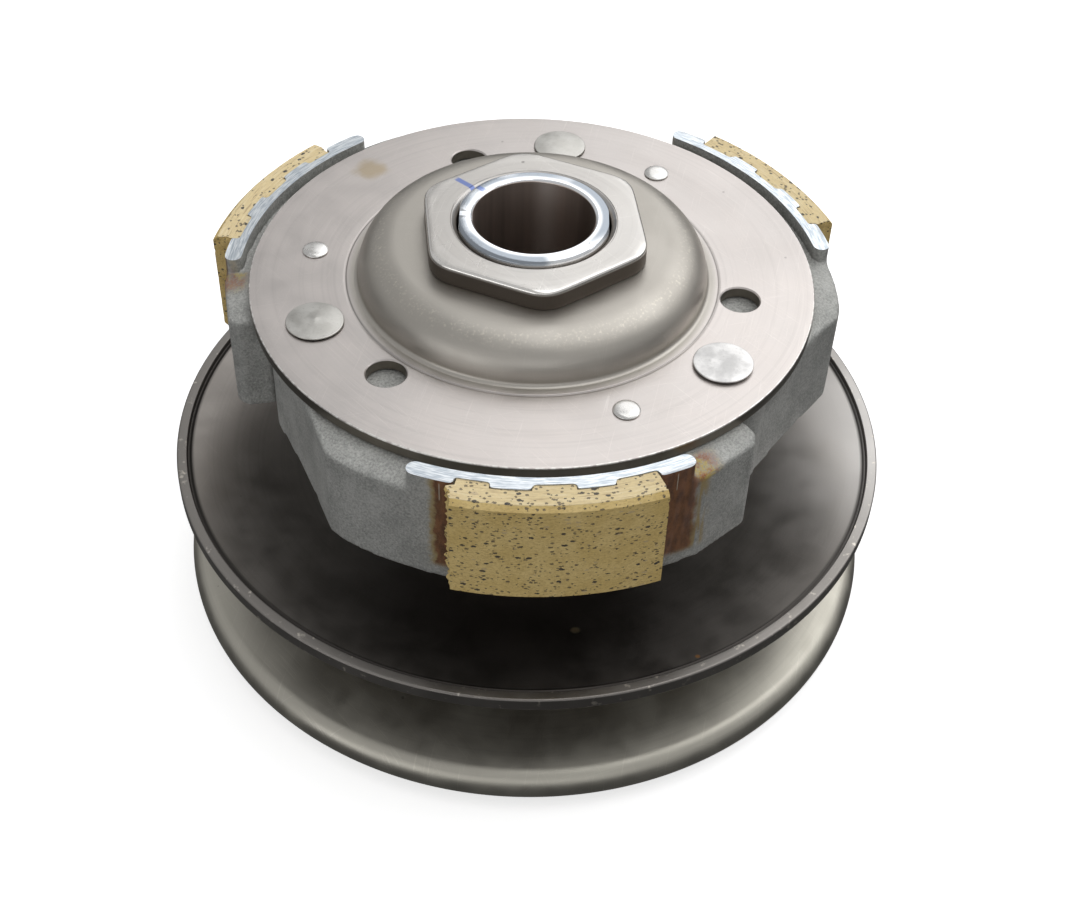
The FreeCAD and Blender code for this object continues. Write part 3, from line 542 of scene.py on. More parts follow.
def sleeve_extras(s, colour, rough):
    """A brown bore with a painted highlight down one side, and a bright ground end with painted dark
    reflections of the room and some ink.
    """
    bore = s.between(s.r, 11.22, 11.12)
    drawn = s.between(s.noise(8.0, 4, 58.0, stretch=(1, 1, 0.04)), 0.34, 0.66)
    colour = s.mix(s.times(bore, 0.9), colour, s.mix(drawn, (0.26, 0.21, 0.18), (0.70, 0.59, 0.53)))
    # Painted highlight down one side of the bore.
    painted_bore_highlight = s.times(bore, s.band(s.turn, 70.0, 88.0, 9.0))
    colour = s.mix(s.times(painted_bore_highlight, 0.8), colour, (1.0, 0.93, 0.88))
    end = s.between(s.z, SLEEVE_TOP - 0.9, SLEEVE_TOP - 0.7)
    end = s.times(end, s.calc("SUBTRACT", 1.0, bore))
    colour = s.mix(end, colour, (0.88, 0.90, 0.93))
    # Painted reflection: dark patches on the ground end, as if the room were mirrored in it.
    painted_reflection_patches = s.times(s.between(s.noise(9.0, 1, 57.0), 0.42, 0.60), s.between(s.r, 11.8, 12.6))
    colour = s.mix(s.times(end, painted_reflection_patches, 0.75), colour, (0.16, 0.20, 0.25))
    colour = s.mix(s.times(s.stroke(*INK_STROKE, 1.1), end, 0.6), colour, (0.08, 0.16, 0.50))
    return colour, s.blend(end, s.blend(bore, rough, 0.46), 0.12), 1.0


def sheave_extras(s, colour, rough):
    """The movable face's back: painted shade on one side and a painted highlight on another, with a nicked
    land at the rim and painted shade in the groove just inside it.
    """
    # Painted shade at the front, under the shoes and clutch.
    colour = s.mix(s.times(s.near(polar(44.0, -92.0), 8.0, 46.0), 0.82), colour, (0.075, 0.062, 0.054))
    # Painted highlight: lighter grey towards the right side.
    colour = s.mix(s.times(s.near(polar(72.0, 0.0), 4.0, 42.0), 0.85), colour, (0.68, 0.66, 0.64))
    land = s.between(s.r, RIM_R - 2.2, RIM_R - 1.95)
    colour = s.mix(s.times(land, 0.30), colour, (0.30, 0.29, 0.275))
    nicks = s.times(land, s.between(s.noise(1.3, 4, 71.0), 0.60, 0.72))
    colour = s.mix(s.times(nicks, 0.7), colour, (0.75, 0.70, 0.62))
    # Painted shade in the groove just inside the rim.
    groove = s.band(s.r, RIM_R - 3.1, RIM_R - 2.05, 0.35)
    colour = s.mix(s.times(groove, 0.88), colour, (0.03, 0.027, 0.025))
    colour = s.mix(s.times(s.near(polar(51.1, -79.2), 0.5, 1.1, 0.6), 0.7), colour, (0.72, 0.58, 0.34))
    colour = s.mix(s.times(s.near(polar(66.0, -62.0), 0.25, 0.6), 0.7), colour, (0.75, 0.36, 0.12))
    return colour, rough, 1.0


def plain_metal(name, light, dark, roughness, seed, size=3.0, grain=0.3, depth=0.008):
    """Small turned, rolled or drawn parts."""
    s = Surface(name)
    cloud = s.noise(size, 4, seed)
    fine = s.noise(grain, 3, seed + 1)
    colour = s.mix(s.between(cloud, 0.35, 0.65), dark, light)
    colour = s.mix(s.times(s.between(fine, 0.55, 0.75), 0.3), colour, tuple(0.55 * c for c in dark))
    s.bump(fine, depth)
    rough = s.blend(s.between(cloud, 0.3, 0.7), roughness - 0.05, roughness + 0.08)
    return s.finish(colour, rough, 1.0)


def rubber(name, tone, seed):
    s = Surface(name)
    fine = s.noise(0.3, 4, seed)
    dust = s.between(s.noise(2.5, 4, seed + 1), 0.5, 0.75)
    colour = s.mix(s.times(dust, 0.5), (tone, tone, tone * 1.05), (0.09, 0.085, 0.08))
    s.bump(fine, 0.03)
    return s.finish(colour, s.blend(dust, 0.55, 0.75), 0.0)


plate_steel = pressed_steel("plate_steel", (0.68, 0.632, 0.605), (0.57, 0.535, 0.515), 0.36, 11.0,
                            wear=0.55, extra=plate_extras)
back_steel = pressed_steel("sheave_back_steel", (0.285, 0.266, 0.248), (0.25, 0.232, 0.215), 0.42, 23.0,
                           wear=0.4, extra=sheave_extras)
face_steel = pressed_steel("sheave_face_steel", (0.55, 0.53, 0.465), (0.48, 0.46, 0.405), 0.42, 31.0,
                           wear=0.6)
nut_steel = pressed_steel("nut_steel", (0.62, 0.60, 0.575), (0.53, 0.51, 0.485), 0.34, 43.0,
                          wear=0.8, extra=nut_extras)
sleeve_steel = pressed_steel("sleeve_steel", (0.52, 0.50, 0.48), (0.40, 0.38, 0.36), 0.28, 51.0,
                             wear=0.3, extra=sleeve_extras)
rivet_steel = plain_metal("rivet_steel", (0.90, 0.89, 0.87), (0.66, 0.65, 0.63), 0.28, 3.0, 2.2)
flat_rivet_steel = plain_metal("flat_rivet_steel", (0.80, 0.79, 0.78), (0.46, 0.455, 0.45), 0.34, 13.0, 4.0)
pin_steel = plain_metal("pin_steel", (0.62, 0.61, 0.58), (0.50, 0.49, 0.46), 0.36, 4.0, 2.6)
hub_steel = plain_metal("hub_steel", (0.42, 0.40, 0.38), (0.32, 0.30, 0.285), 0.36, 5.0, 9.0)
spring_steel = plain_metal("spring_steel", (0.20, 0.195, 0.19), (0.12, 0.115, 0.11), 0.34, 6.0, 6.0)
music_wire = plain_metal("music_wire", (0.50, 0.49, 0.46), (0.36, 0.35, 0.33), 0.28, 7.0, 3.0)
bearing_steel = plain_metal("bearing_steel", (0.72, 0.72, 0.72), (0.62, 0.62, 0.62), 0.16, 8.0, 5.0)
cage_steel = plain_metal("cage_steel", (0.55, 0.50, 0.40), (0.42, 0.38, 0.30), 0.36, 9.0, 3.0)
clip_steel = plain_metal("clip_steel", (0.16, 0.16, 0.165), (0.09, 0.09, 0.095), 0.38, 10.0, 3.0)
collar_steel = plain_metal("collar_steel", (0.56, 0.55, 0.53), (0.46, 0.45, 0.43), 0.30, 12.0, 9.0)
black_rubber = rubber("black_rubber", 0.018, 2.0)
brown_rubber = rubber("seal_rubber", 0.03, 3.0)

CAD_FINISHES = {
    "ball_bearing_outer_ring": bearing_steel,
    "ball_bearing_inner_ring": bearing_steel,
    "ball_bearing_balls": bearing_steel,
    "ball_bearing_cage": cage_steel,
    "ball_bearing_seals": brown_rubber,
    "bearing_circlip": clip_steel,
    "needle_bearing_shell": bearing_steel,
    "needle_bearing_rollers": bearing_steel,
    "needle_bearing_cage": cage_steel,
    "guide_pins": pin_steel,
    "guide_roller_1": bearing_steel,
    "guide_roller_2": bearing_steel,
    "guide_roller_3": bearing_steel,
    "movable_hub": hub_steel,
    "movable_rivets": rivet_steel,
    "fixed_sheave_rivets": rivet_steel,
    "hub_oil_seals": brown_rubber,
    "hub_o_rings": black_rubber,
    "seal_collar": collar_steel,
    "spring_seat": hub_steel,
    "pivot_washers": clip_steel,
    "pivot_clips": clip_steel,
    "damper_rubbers": black_rubber,
}
for node_name, finish in CAD_FINISHES.items():
    dress(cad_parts[node_name], finish)


# --- pulley faces ---
def cone(z_flat, flat_r, rise):
    """The height of a belt face's cone at a radius."""
    return lambda r: z_flat + rise * (r - flat_r) * CONE_SLOPE


def fixed_face():
    outer = cone(FIXED_FLAT_Z, FIXED_FLAT_R, -1)
    under = cone(FIXED_FLAT_Z - SHEET / math.cos(math.radians(13.0)), FIXED_FLAT_R, -1)
    bead = (RIM_R - ROLL_R, ROLL_Z)
    inner_r = ROLL_R - SHEET
    start = 77.0
    inside = bead[0] + inner_r * math.cos(math.radians(start))
    corners = [
        (17.02, FIXED_FLAT_Z, 0.3),
        (FIXED_FLAT_R, FIXED_FLAT_Z, 6.0),
        *spread((FIXED_FLAT_R + 2, outer(FIXED_FLAT_R + 2)), (RIM_R - 4.5, outer(RIM_R - 4.5)), 10),
        *bend(bead, ROLL_R, start, -86.0, 5.0),
        (bead[0] - 0.1, bead[1] - ROLL_R, 0.25),
        (bead[0] - 0.1, bead[1] - inner_r, 0.25),
        *bend(bead, inner_r, -78.0, start, 12.0),
        *spread((inside - 2, under(inside - 2)), (FIXED_FLAT_R + 2, under(FIXED_FLAT_R + 2)), 8),
        (FIXED_FLAT_R - 0.3, FIXED_FLAT_Z - SHEET, 4.0),
        (17.02, FIXED_FLAT_Z - SHEET, 0.3),
    ]
    return shade(turned("fixed_face", rounded(corners, 6)))


def movable_face():
    under = cone(MOVABLE_FLAT_Z, MOVABLE_FLAT_R, 1)
    back = cone(32.75, 67.5, 1)
    back_flat = MOVABLE_FLAT_Z + SHEET
    corners = [
        (20.62, MOVABLE_FLAT_Z, 0.3),
        (MOVABLE_FLAT_R, MOVABLE_FLAT_Z, 6.0),
        *spread((MOVABLE_FLAT_R + 2, under(MOVABLE_FLAT_R + 2)), (RIM_R - 1, under(RIM_R - 1)), 10),
        (RIM_R, MOVABLE_RIM_Z, 0.45),
        (RIM_R, MOVABLE_RIM_TOP, 0.45),
        (67.85, MOVABLE_RIM_TOP, 0.16),
        (67.70, 32.42, 0.20),
        (67.30, 32.44, 0.20),
        (66.95, back(66.95), 0.3),
        *spread((66.2, back(66.2)), (MOVABLE_FLAT_R + 2, back(MOVABLE_FLAT_R + 2)), 10),
        (MOVABLE_FLAT_R - 0.3, back_flat, 5.0),
        (20.62, back_flat, 0.3),
    ]
    return shade(turned("movable_face_sheet", rounded(corners, 6)))


fixed = fixed_face()
dress(fixed, face_steel)
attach(fixed, "root")
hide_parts("fixed_sheave")

movable = movable_face()
dress(movable, back_steel)
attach(movable, "movable_face")
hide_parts("movable_sheave")


# --- drive plate ---
def drive_plate():
    under = PLATE_TOP - PLATE_SHEET
    wall_in = DOME_WALL_R - PLATE_SHEET
    ridge = PLATE_TOP + 0.12
    corners = [
        (14.02, DOME_TOP, 0.2),
        *spread((16.0, DOME_TOP), (DOME_WALL_R - DOME_BEND, DOME_TOP), 4),
        (DOME_WALL_R, DOME_TOP, DOME_BEND),
        (DOME_WALL_R, ridge, 0.85),
        (34.3, ridge, 0.2),
        (34.5, PLATE_TOP - 0.06, 0.1),
        (34.9, PLATE_TOP, 0.3),
        *spread((35.3, PLATE_TOP), (PLATE_R - 0.6, PLATE_TOP), 8),
        (PLATE_R, PLATE_TOP, 0.22),
        (PLATE_R, under, 0.3),
        *spread((PLATE_R - 0.8, under), (32.2, under), 7),
        (wall_in, under, 1.5),
        (wall_in, DOME_TOP - PLATE_SHEET, DOME_BEND - PLATE_SHEET),
        (14.02, DOME_TOP - PLATE_SHEET, 0.2),
    ]
    plate = turned("clutch_plate", rounded(corners, 6))
    flare = TOOL_HOLE_R + 0.28
    hole = rounded([
        (0, under - 1, 0),
        (flare + 1, under - 1, 0),
        (TOOL_HOLE_R, under + 0.2, 0.2),
        (TOOL_HOLE_R, PLATE_TOP - 0.22, 0.2),
        (flare, PLATE_TOP + 0.02, 0.1),
        (flare, PLATE_TOP + 1, 0),
        (0, PLATE_TOP + 1, 0),
    ])
    cutters = [
        turned("tool", hole, 72, polar(TOOL_HOLE_CIRCLE, angle + TOOL_HOLE_TURN))
        for angle in PIVOT_ANGLES
    ]
    return shade(combined(plate, cutters, "DIFFERENCE"))


plate = drive_plate()
dress(plate, plate_steel)
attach(plate, "root")
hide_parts("drive_plate")


# --- nut and sleeve ---
def nut():
    """A thin hexagon with well rounded corners, soft top edges and a chamfered bore."""
    flats, corner, turn = 19.5, 21.5, 36.9
    top, low, soft, bore = 83.5, DOME_TOP, 0.75, 14.02

    def outline(angle):
        off = math.remainder(angle - turn - 30, 60)
        flat = flats / math.cos(math.radians(off))
        return (flat ** -60 + corner ** -60) ** (-1 / 60)

    def ring(inset, z, towards_bore=0.0):
        points = []
        for i in range(SEGMENTS):
            angle = 360 * i / SEGMENTS
            radius = (outline(angle) - inset) * (1 - towards_bore) + (bore + 0.95) * towards_bore
            cone_z = top - max(0.0, radius - 20.4) * 0.25
            points.append(polar(radius, angle, min(z, cone_z)))
        return points

    steps = [math.radians(a) for a in range(0, 91, 15)]
    rings = [ring(0.3, low), ring(0.1, low + 0.06), ring(0.0, low + 0.3)]
    rings += [ring(0, low + 0.3 + (top - soft - low - 0.3) * k / 4) for k in range(1, 4)]
    rings += [ring(soft * (1 - math.cos(t)), top - soft * (1 - math.sin(t))) for t in steps]
    rings += [ring(soft, top, share) for share in (0.15, 0.4, 0.7, 0.96)]
    bore_corners = [(bore + 0.95, top, 0.12), (bore, top - 0.9, 0.2), (bore, low, 0.1), (bore + 3, low, 0)]
    inner = rounded(bore_corners, 20)
    rings += [[polar(r, 360 * i / SEGMENTS, z) for i in range(SEGMENTS)] for r, z in inner[:-1]]
    rings += [[polar(r, 360 * i / SEGMENTS, low) for i in range(SEGMENTS)] for r in (bore + 1, bore + 3)]
    return shade(lofted("thin_nut", rings, closed=True), 40)


clutch_nut = nut()
dress(clutch_nut, nut_steel)
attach(clutch_nut, "root")
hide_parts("clutch_nut")


def sleeve():
    """The tube that everything is built on, its end ground and polished."""
    flange = FIXED_FLAT_Z - SHEET
    flange_low = flange - 3.0
    shoulder = DOME_TOP - PLATE_SHEET
    corners = [
        (15.0, 0.0, 0.2), (17.6, 0.0, 0.2), (18.0, 0.6, 0.3), (18.0, flange_low - 0.6, 0.5),
        (18.6, flange_low, 0.5), (23.5, flange_low, 0.4), (23.5, flange, 0.2), (17.0, flange, 0.2),
        (17.0, shoulder, 0.3), (14.0, shoulder, 0.2), (14.0, SLEEVE_TOP - 0.45, 0.25),
        (13.6, SLEEVE_TOP, 0.3), (11.5, SLEEVE_TOP, 0.3), (11.07, SLEEVE_TOP - 0.4, 0.25),
        (11.07, 32.4, 0.1), (14.0, 32.4, 0.1), (14.0, 25.4, 0.05), (14.75, 25.4, 0.05),
        (14.75, 24.15, 0.05), (14.0, 24.15, 0.05), (14.0, 22.7, 0.1), (14.5, 22.0, 0.1), (14.5, 0.5, 0.2),
    ]

    def with_flats(r, z, angle):
        if z < shoulder + 0.5 or r < 13.3:
            return r
        return min(r, 13.45 / max(0.2, abs(math.cos(math.radians(angle)))))

    return shade(turned("ground_sleeve", rounded(corners, 12), 288, radius_at=with_flats))


tube = sleeve()
dress(tube, sleeve_steel)
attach(tube, "root")
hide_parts("drive_sleeve")


# --- rivets ---
def pivot_pin(number, angle):
    """A grooved pin whose head is peened over the plate, standing a little off it at its edge."""
    centre = polar(PIVOT_R, angle)
    low = SHOE_BOTTOM - 3.2
    groove = SHOE_BOTTOM - 2.1
    head = PLATE_TOP + 0.9
    flat_head = number == 2
    edge = head - (0.22 if flat_head else 0.42)
    corners = [
        (3.6, low, 0.3), (4.0, low + 0.5, 0.2), (4.0, groove, 0.1), (3.1, groove, 0.1),
        (3.1, groove + 1.0, 0.1), (4.0, groove + 1.0, 0.1), (4.0, PLATE_TOP + 0.05, 0.05),
        (5.2, PLATE_TOP + 0.30, 0.1), (5.45, edge, 0.16),
    ]
    outline = rounded([(0.1, low, 0)] + corners + [(2.5, head - 0.05, 0)], 20)[1:-1]
    ball = (5.3 ** 2 + (head - edge) ** 2) / (2 * (head - edge))
    cap = []
    for r in (4.9, 4.4, 3.8, 3.2, 2.6, 2.0, 1.5, 1.1, 0.8, 0.55, 0.3):
        z = head - ball + math.sqrt(ball ** 2 - r ** 2)
        if number == 1:
            z += 0.10 * math.exp(-(r / 0.65) ** 2)
        cap.append((r, z))
    tip = head + (0.10 if number == 1 else 0.0)
    pin = turned("pivot_pin_%d" % number, [(0, low)] + outline + cap + [(0, tip)], 96, centre)
    if flat_head:
        for vertex in pin.data.vertices:
            if vertex.co.z > (edge + 0.02) * MM:
                vertex.co.z += 0.05 * MM * noise.noise(vertex.co * 420)
    return shade(pin, 40)


for number, angle in enumerate(PIVOT_ANGLES, 1):
    pin = pivot_pin(number, angle)
    dress(pin, flat_rivet_steel if number == 2 else pin_steel)
    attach(pin, "root")
    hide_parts("pivot_pins")


def damper_pin(number, angle):
    centre = polar(DAMPER_R, angle + DAMPER_TURN)
    under = PLATE_TOP - PLATE_SHEET
    head = PLATE_TOP + 0.75
    corners = [
        (0.1, SHOE_BOTTOM + 3.0, 0), (3.2, SHOE_BOTTOM + 3.0, 0.3), (3.2, under, 0.05), (2.2, under, 0.05),
        (2.2, PLATE_TOP + 0.02, 0.02), (2.45, PLATE_TOP + 0.12, 0.08), (2.38, PLATE_TOP + 0.3, 0.12),
        (1.2, head, 0),
    ]
    cap = []
    for r in (2.2, 1.9, 1.5, 1.1, 0.7, 0.35):
        cap.append((r, PLATE_TOP + 0.3 + 0.45 * math.sqrt(1 - (r / 2.4) ** 2)))
    outline = rounded(corners, 20)[1:-1]
    profile = [(0, SHOE_BOTTOM + 3.0)] + outline + cap + [(0, head)]
    return shade(turned("damper_pin_%d" % number, profile, 72, centre), 40)


for number, angle in enumerate(PIVOT_ANGLES, 1):
    pin = damper_pin(number, angle)
    dress(pin, rivet_steel)
    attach(pin, "root")
    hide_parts("damper_pins")


# --- shoes ---
def arc(radius, first, last, step=1.0):
    count = max(1, math.ceil(abs(last - first) / step))
    return [(*polar(radius, first + (last - first) * i / count).xy, 0) for i in range(count + 1)]


def corner(radius, angle, rounding):
    return (*polar(radius, angle).xy, rounding)


def outer_wall(first, last):
    """The turned outer side: the lining's seat with the two teeth standing in it."""
    wall = arc(SHOE_OUT, first, SEAT_TURNS[0]) + arc(SEAT_R, SEAT_TURNS[0], TEETH[0][0])
    wall += arc(TOOTH_R, *TEETH[0]) + arc(SEAT_R, TEETH[0][1], TEETH[1][0])
    wall += arc(TOOTH_R, *TEETH[1]) + arc(SEAT_R, TEETH[1][1], SEAT_TURNS[1])
    return wall + arc(SHOE_OUT, SEAT_TURNS[1], last)


def casting():
    """One shoe with its pivot on the X axis, its land cut flat after the casting is rounded."""
    arm = [
        corner(49.9, 2, 1.5), corner(51.2, 16, 3.0), corner(52.8, 21.5, 2.5), corner(56.9, 30, 3.0),
        *outer_wall(33, 98),
        corner(56.3, 109.5, 1.2), corner(54.8, 111.5, 1.2), corner(48.0, 112, 1.5), corner(SHOE_IN, 105, 1.0),
        *arc(SHOE_IN, 103, 8, 2.0), corner(SHOE_IN, 6, 1.0),
    ]
    body = extruded("casting", rounded(arm, 12), SHOE_BOTTOM, SHOE_TOP)
    low, high = LAND_TURNS
    land = [corner(SHOE_OUT, low, 1.5), *outer_wall(low + 1.6, high - 1.6), corner(SHOE_OUT, high, 1.5)]
    land += [corner(LAND_IN, high, 1.5), *arc(LAND_IN, high - 1.7, low + 1.7), corner(LAND_IN, low, 1.5)]
    over = LAND_TOP + 1.0
    pivot = polar(PIVOT_R, 0)
    body = combined(body, [
        extruded("tool", rounded(land, 15), SHOE_TOP - 1.0, over),
        disc(8.3, pivot, SHOE_BOTTOM, SHOE_TOP + 0.01),
        disc(6.6, pivot, SHOE_TOP - 1.0, 69.0),
        *[
            disc(PEG_R, polar(PEG_CIRCLE, at), SHOE_BOTTOM - 5.6, SHOE_BOTTOM + 0.5, 24)
            for at in (NEXT_PEG - 120, OWN_PEG)
        ],
    ], "UNION")
    rest = polar(DAMPER_R, DAMPER_TURN)
    shift = Vector((0, 0, 1)).cross(rest - pivot) * math.radians(3.0)
    slot_ring = [rest + shift * s for s in (0, 0.25, 0.5, 0.75, 1)]
    body = combined(body, [
        disc(10.0, polar(PIVOT_R, 120), SHOE_BOTTOM - 1, over),
        disc(4.05, pivot, SHOE_BOTTOM - 1, over),
        *[disc(5.95, at, SHOE_BOTTOM - 1, over) for at in slot_ring],
    ], "DIFFERENCE")
    remesh = body.modifiers.new("cast", "REMESH")
    remesh.mode = "VOXEL"
    remesh.voxel_size = 0.42 * MM
    soften = body.modifiers.new("soft", "SMOOTH")
    soften.factor = 0.5
    soften.iterations = 4
    applied(body)
    work = bmesh.new()
    work.from_mesh(body.data)
    slope_low, slope_high = 66.5, 68.6
    for vertex in work.verts:
        x, y, z = vertex.co / MM
        radius = math.hypot(x, y)
        # Whatever stands in this layer rises towards the axis, so that the shoe's top slopes.
        if slope_low < z < slope_high:
            rise = min(1.0, max(0.0, (57.0 - radius) * 0.25))
            vertex.co.z += rise * min(1.0, (z - slope_low) / 1.4) * MM
        vertex.co += vertex.normal * 0.05 * MM * noise.noise(vertex.co * 180)
    everything = work.verts[:] + work.edges[:] + work.faces[:]
    bmesh.ops.bisect_plane(work, geom=everything, plane_co=(0, 0, LAND_TOP * MM), plane_no=(0, 0, 1),
                           clear_outer=True)
    rim = [edge for edge in work.edges if edge.is_boundary]
    bmesh.ops.edgeloop_fill(work, edges=rim)
    bmesh.ops.recalc_face_normals(work, faces=work.faces)
    work.to_mesh(body.data)
    work.free()
    return shade(body, 40)


def lining_pad(number, broken):
    """A friction pad, notched over the teeth. Its first end is broken back by about that many mm."""
    first, last = LINING_TURNS
    turns = {round(first + (last - first) * i / 110, 4) for i in range(111)}
    inside = []
    for start, stop in TEETH:
        inside.append((start - 0.1, stop + 0.1))
        turns |= {start - 0.16, start - 0.1, stop + 0.1, stop + 0.16}
    turns = sorted(turns)
    low, high = LINING_Z
    levels = [low, low + 0.3, low + 0.6, low + LINING_BEVEL]
    steps = 44
    levels += [low + LINING_BEVEL + (high - low - 2 * LINING_BEVEL) * i / steps for i in range(1, steps)]
    levels += [high - LINING_BEVEL, high - 0.6, high - 0.3, high]
    layers = (0, 0.28, 0.32, 0.38, 0.46, 0.55, 0.65, 0.75, 0.84, 0.93, 1)
    counts = (len(layers), len(levels), len(turns))

    def at(i, j, k):
        share, z, turn = layers[i], levels[j], turns[k]
        notched = any(a - 1e-6 < turn < b + 1e-6 for a, b in inside)
        r_in = TOOTH_R + 0.05 if notched else SEAT_R + 0.02
        r_out = LINING_R - max(0.0, z - high + LINING_BEVEL, low + LINING_BEVEL - z)
        r = r_in + (r_out - r_in) * share
        seed = Vector((z * 0.55, r * 0.8, 10.0 * number))
        rugged = 0.5 + 0.9 * noise.fractal(seed, 0.9, 2.1, 4)
        near = max(0.0, 1 - (turn - first) / 2.5)
        over = max(0.0, min(1.0, (r - 57.3) / 0.25)) * max(0.0, min(1.0, (60.6 - r) / 2.4))
        pull = broken * over * max(0.12, rugged) * near
        pull += 0.25 * noise.noise(seed * 2.3) * near * over
        end = max(0.0, 1 - (last - turn) / 1.2)
        chip = max(0.0, noise.noise(seed * 1.7 + Vector((5, 0, 0))) - 0.15) * 0.9 * end
        turn += (chip * (1 if z > high - 4 else 0.4) * -1 - pull) * math.degrees(1 / 58)
        edge = min(abs(z - high), 0.6) < 0.35 and share > 0.9
        crumb = 0.12 * max(0.0, noise.noise(Vector((turn * 1.4, z, 30.0 * number)))) if edge else 0.0
        return polar(r - crumb, turn, z)

    numbers, points, faces = {}, [], []

    def index(i, j, k):
        key = (i, j, k)
        if key not in numbers:
            numbers[key] = len(points)
            points.append(at(i, j, k))
        return numbers[key]

    for axis in range(3):
        u, v = [a for a in range(3) if a != axis]
        for side in (0, counts[axis] - 1):
            for a in range(counts[u] - 1):
                for b in range(counts[v] - 1):
                    quad = []
                    for da, db in ((0, 0), (1, 0), (1, 1), (0, 1)):
                        key = [0, 0, 0]
                        key[axis], key[u], key[v] = side, a + da, b + db
                        quad.append(index(*key))
                    faces.append(quad)
    return shade(mesh_object("friction_lining_%d" % number, points, faces), 28)


shoe_master = casting()
for number, angle in enumerate(PIVOT_ANGLES, 1):
    body_name = "shoe_%d" % number
    turn = Matrix.Rotation(math.radians(angle), 4, "Z")
    shoe = bpy.data.objects.new("cast_shoe_%d" % number, shoe_master.data.copy())
    bpy.context.scene.collection.objects.link(shoe)
    shoe.data.transform(turn)
    dress(shoe, casting_material(number * 7, angle, 1.0 if number == 1 else 0.8))
    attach(shoe, body_name)
    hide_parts(body_name)
    pad = lining_pad(number, 1.9 if number == 1 else 0.5)
    pad.data.transform(turn)
    dress(pad, lining_material(number * 5, angle))
    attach(pad, body_name)
    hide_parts("lining_%d" % number)
bpy.data.objects.remove(shoe_master)


# --- springs ---
def contra_spring():
    """The compression spring that closes the pulley, its end turns wound close."""
    radius, mean, turns, close = 1.8, 23.6, 8.2, 3.68
    low, high = SPRING_ENDS[0] + radius, SPRING_ENDS[1] - radius
    pitch = (high - low - 2 * close) / (turns - 2)
    path = []
    steps = 64
    for i in range(int(turns * steps) + 1):
        n = i / steps
        z = low + close * min(n, 1) + pitch * max(0.0, min(n, turns - 1) - 1)
        z += close * max(0.0, n - (turns - 1))
        path.append(polar(mean, 360 * n, z))
    return wire("closing_spring", path, radius, 20)


spring = contra_spring()
dress(spring, spring_steel)
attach(spring, "root")
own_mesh(spring)
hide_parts("contra_spring")


def clutch_spring(number, angle):
    """A close-wound tension spring hooked over two pegs, loosely where the next shoe's peg moves."""
    z, wire_r, mean = PEG_SPRING_Z, 0.5, 2.3
    eye_r, loose_eye_r = 1.9, 2.75
    start, end = [polar(PEG_CIRCLE, angle + peg, z) for peg in (OWN_PEG, NEXT_PEG)]
    along = (end - start).normalized()
    across = Vector((0, 0, 1)).cross(along)
    up = Vector((0, 0, 1))
    length = (end - start).length

    def eye(centre, inward, reverse, radius):
        loop = []
        for k in range(25):
            a = math.radians(20 + 280 * k / 24)
            loop.append(centre + (inward * math.cos(a) + across * math.sin(a) * reverse) * radius)
        return loop

    first = eye(start, along, 1, eye_r)[::-1]
    last = eye(end, -along, 1, loose_eye_r)
    margin = eye_r + 1.6
    turns = 17
    coil = []
    for k in range(turns * 20 + 1):
        a = 2 * math.pi * k / 20
        reach = margin + (length - 2 * margin) * k / (turns * 20)
        coil.append(start + along * reach + (across * math.cos(a) + up * math.sin(a)) * mean)
    return wire("return_spring_%d" % number, first + coil + last, wire_r, 10)


for number, angle in enumerate(PIVOT_ANGLES, 1):
    spring = clutch_spring(number, angle)
    dress(spring, music_wire)
    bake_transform(spring)
    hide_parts("clutch_spring_%d" % number)


# --- stage, light and camera ---
def stage_floor():
    size = 2500.0
    corners = [(x * size, y * size, -0.02) for x, y in ((-1, -1), (1, -1), (1, 1), (-1, 1))]
    floor = mesh_object("floor", corners, [(0, 1, 2, 3)])
    s = Surface("pale_floor")
    s.shader.inputs["Emission Color"].default_value = (1, 1, 1, 1)
    s.shader.inputs["Emission Strength"].default_value = 0.62
    dress(floor, s.finish((0.8, 0.8, 0.8, 1), 0.9, 0.0))
    floor.visible_glossy = False
    floor.visible_diffuse = False


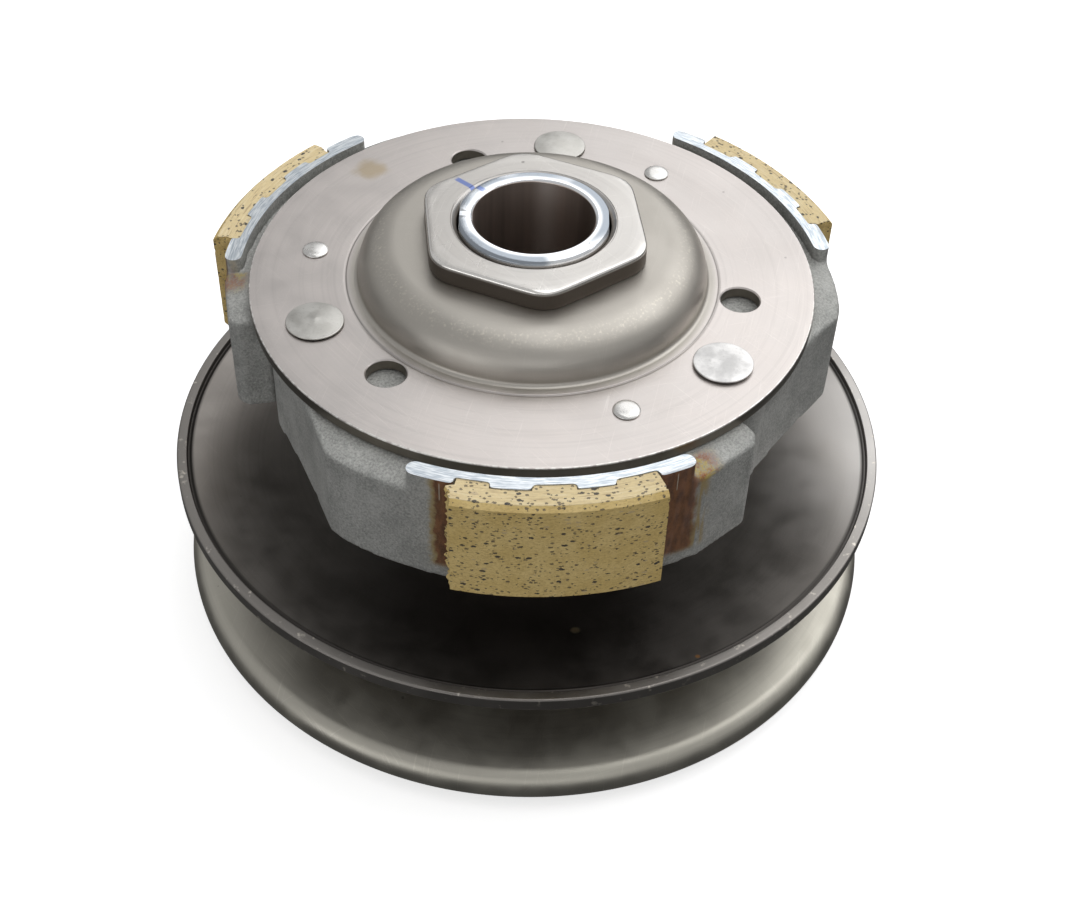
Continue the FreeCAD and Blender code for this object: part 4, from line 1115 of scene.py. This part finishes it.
def softbox(name, at, size, radiance, tint=(1, 1, 1)):
    light = bpy.data.lights.new(name, "AREA")
    light.shape = "RECTANGLE"
    light.size, light.size_y = size
    light.energy = radiance * math.pi * size[0] * size[1]
    light.color = tint
    lamp = bpy.data.objects.new(name, light)
    bpy.context.scene.collection.objects.link(lamp)
    target = Vector((0, 0, 0.06))
    lamp.location = at
    lamp.rotation_mode = "QUATERNION"
    lamp.rotation_quaternion = (target - Vector(at)).to_track_quat("-Z", "Y")


def studio_world():
    """A plain sky, dim below the horizon and brighter above it."""
    world = bpy.data.worlds.new("studio")
    world.use_nodes = True
    nodes, links = world.node_tree.nodes, world.node_tree.links
    direction = nodes.new("ShaderNodeTexCoord")
    height = nodes.new("ShaderNodeSeparateXYZ")
    rise = nodes.new("ShaderNodeMapRange")
    rise.interpolation_type = "SMOOTHSTEP"
    for key, value in {"From Min": -0.10, "From Max": 0.22, "To Min": 0.08, "To Max": 0.52}.items():
        rise.inputs[key].default_value = value
    background = nodes["Background"]
    background.inputs["Color"].default_value = (1.0, 1.0, 1.0, 1)
    links.new(direction.outputs["Generated"], height.inputs[0])
    links.new(height.outputs["Z"], rise.inputs["Value"])
    links.new(rise.outputs[0], background.inputs["Strength"])
    return world


def studio_camera():
    view = bpy.data.objects.new("camera", bpy.data.cameras.new("camera"))
    bpy.context.scene.collection.objects.link(view)
    view.data.sensor_width = 36.0
    view.data.lens = 53.76
    view.data.clip_start = 0.01
    view.data.clip_end = 10.0
    right = Vector((1.0, 0.014, 0.026)).normalized()
    forward = Vector((0.008, 0.721, -0.693)).normalized()
    right = (right - forward * right.dot(forward)).normalized()
    up = right.cross(forward)
    turn = Matrix((right, up, -forward)).transposed().to_4x4()
    view.matrix_world = Matrix.Translation((0, -0.23856, 0.25499)) @ turn
    return view


stage_floor()
softbox("overhead", (0.25, 0.10, 1.05), (1.1, 0.8), 1.05)
softbox("rear", (0.45, 0.90, 0.85), (1.2, 0.8), 1.0)
softbox("right", (0.90, 0.30, 0.85), (0.7, 0.6), 1.25)
softbox("front_left", (-0.75, -0.9, 0.22), (0.9, 0.45), 1.1)
softbox("front", (0.15, -1.15, 0.40), (0.8, 0.35), 0.55)
bpy.context.scene.world = studio_world()
bpy.context.scene.view_settings.view_transform = "Standard"
camera = studio_camera()
bpy.context.scene.camera = camera
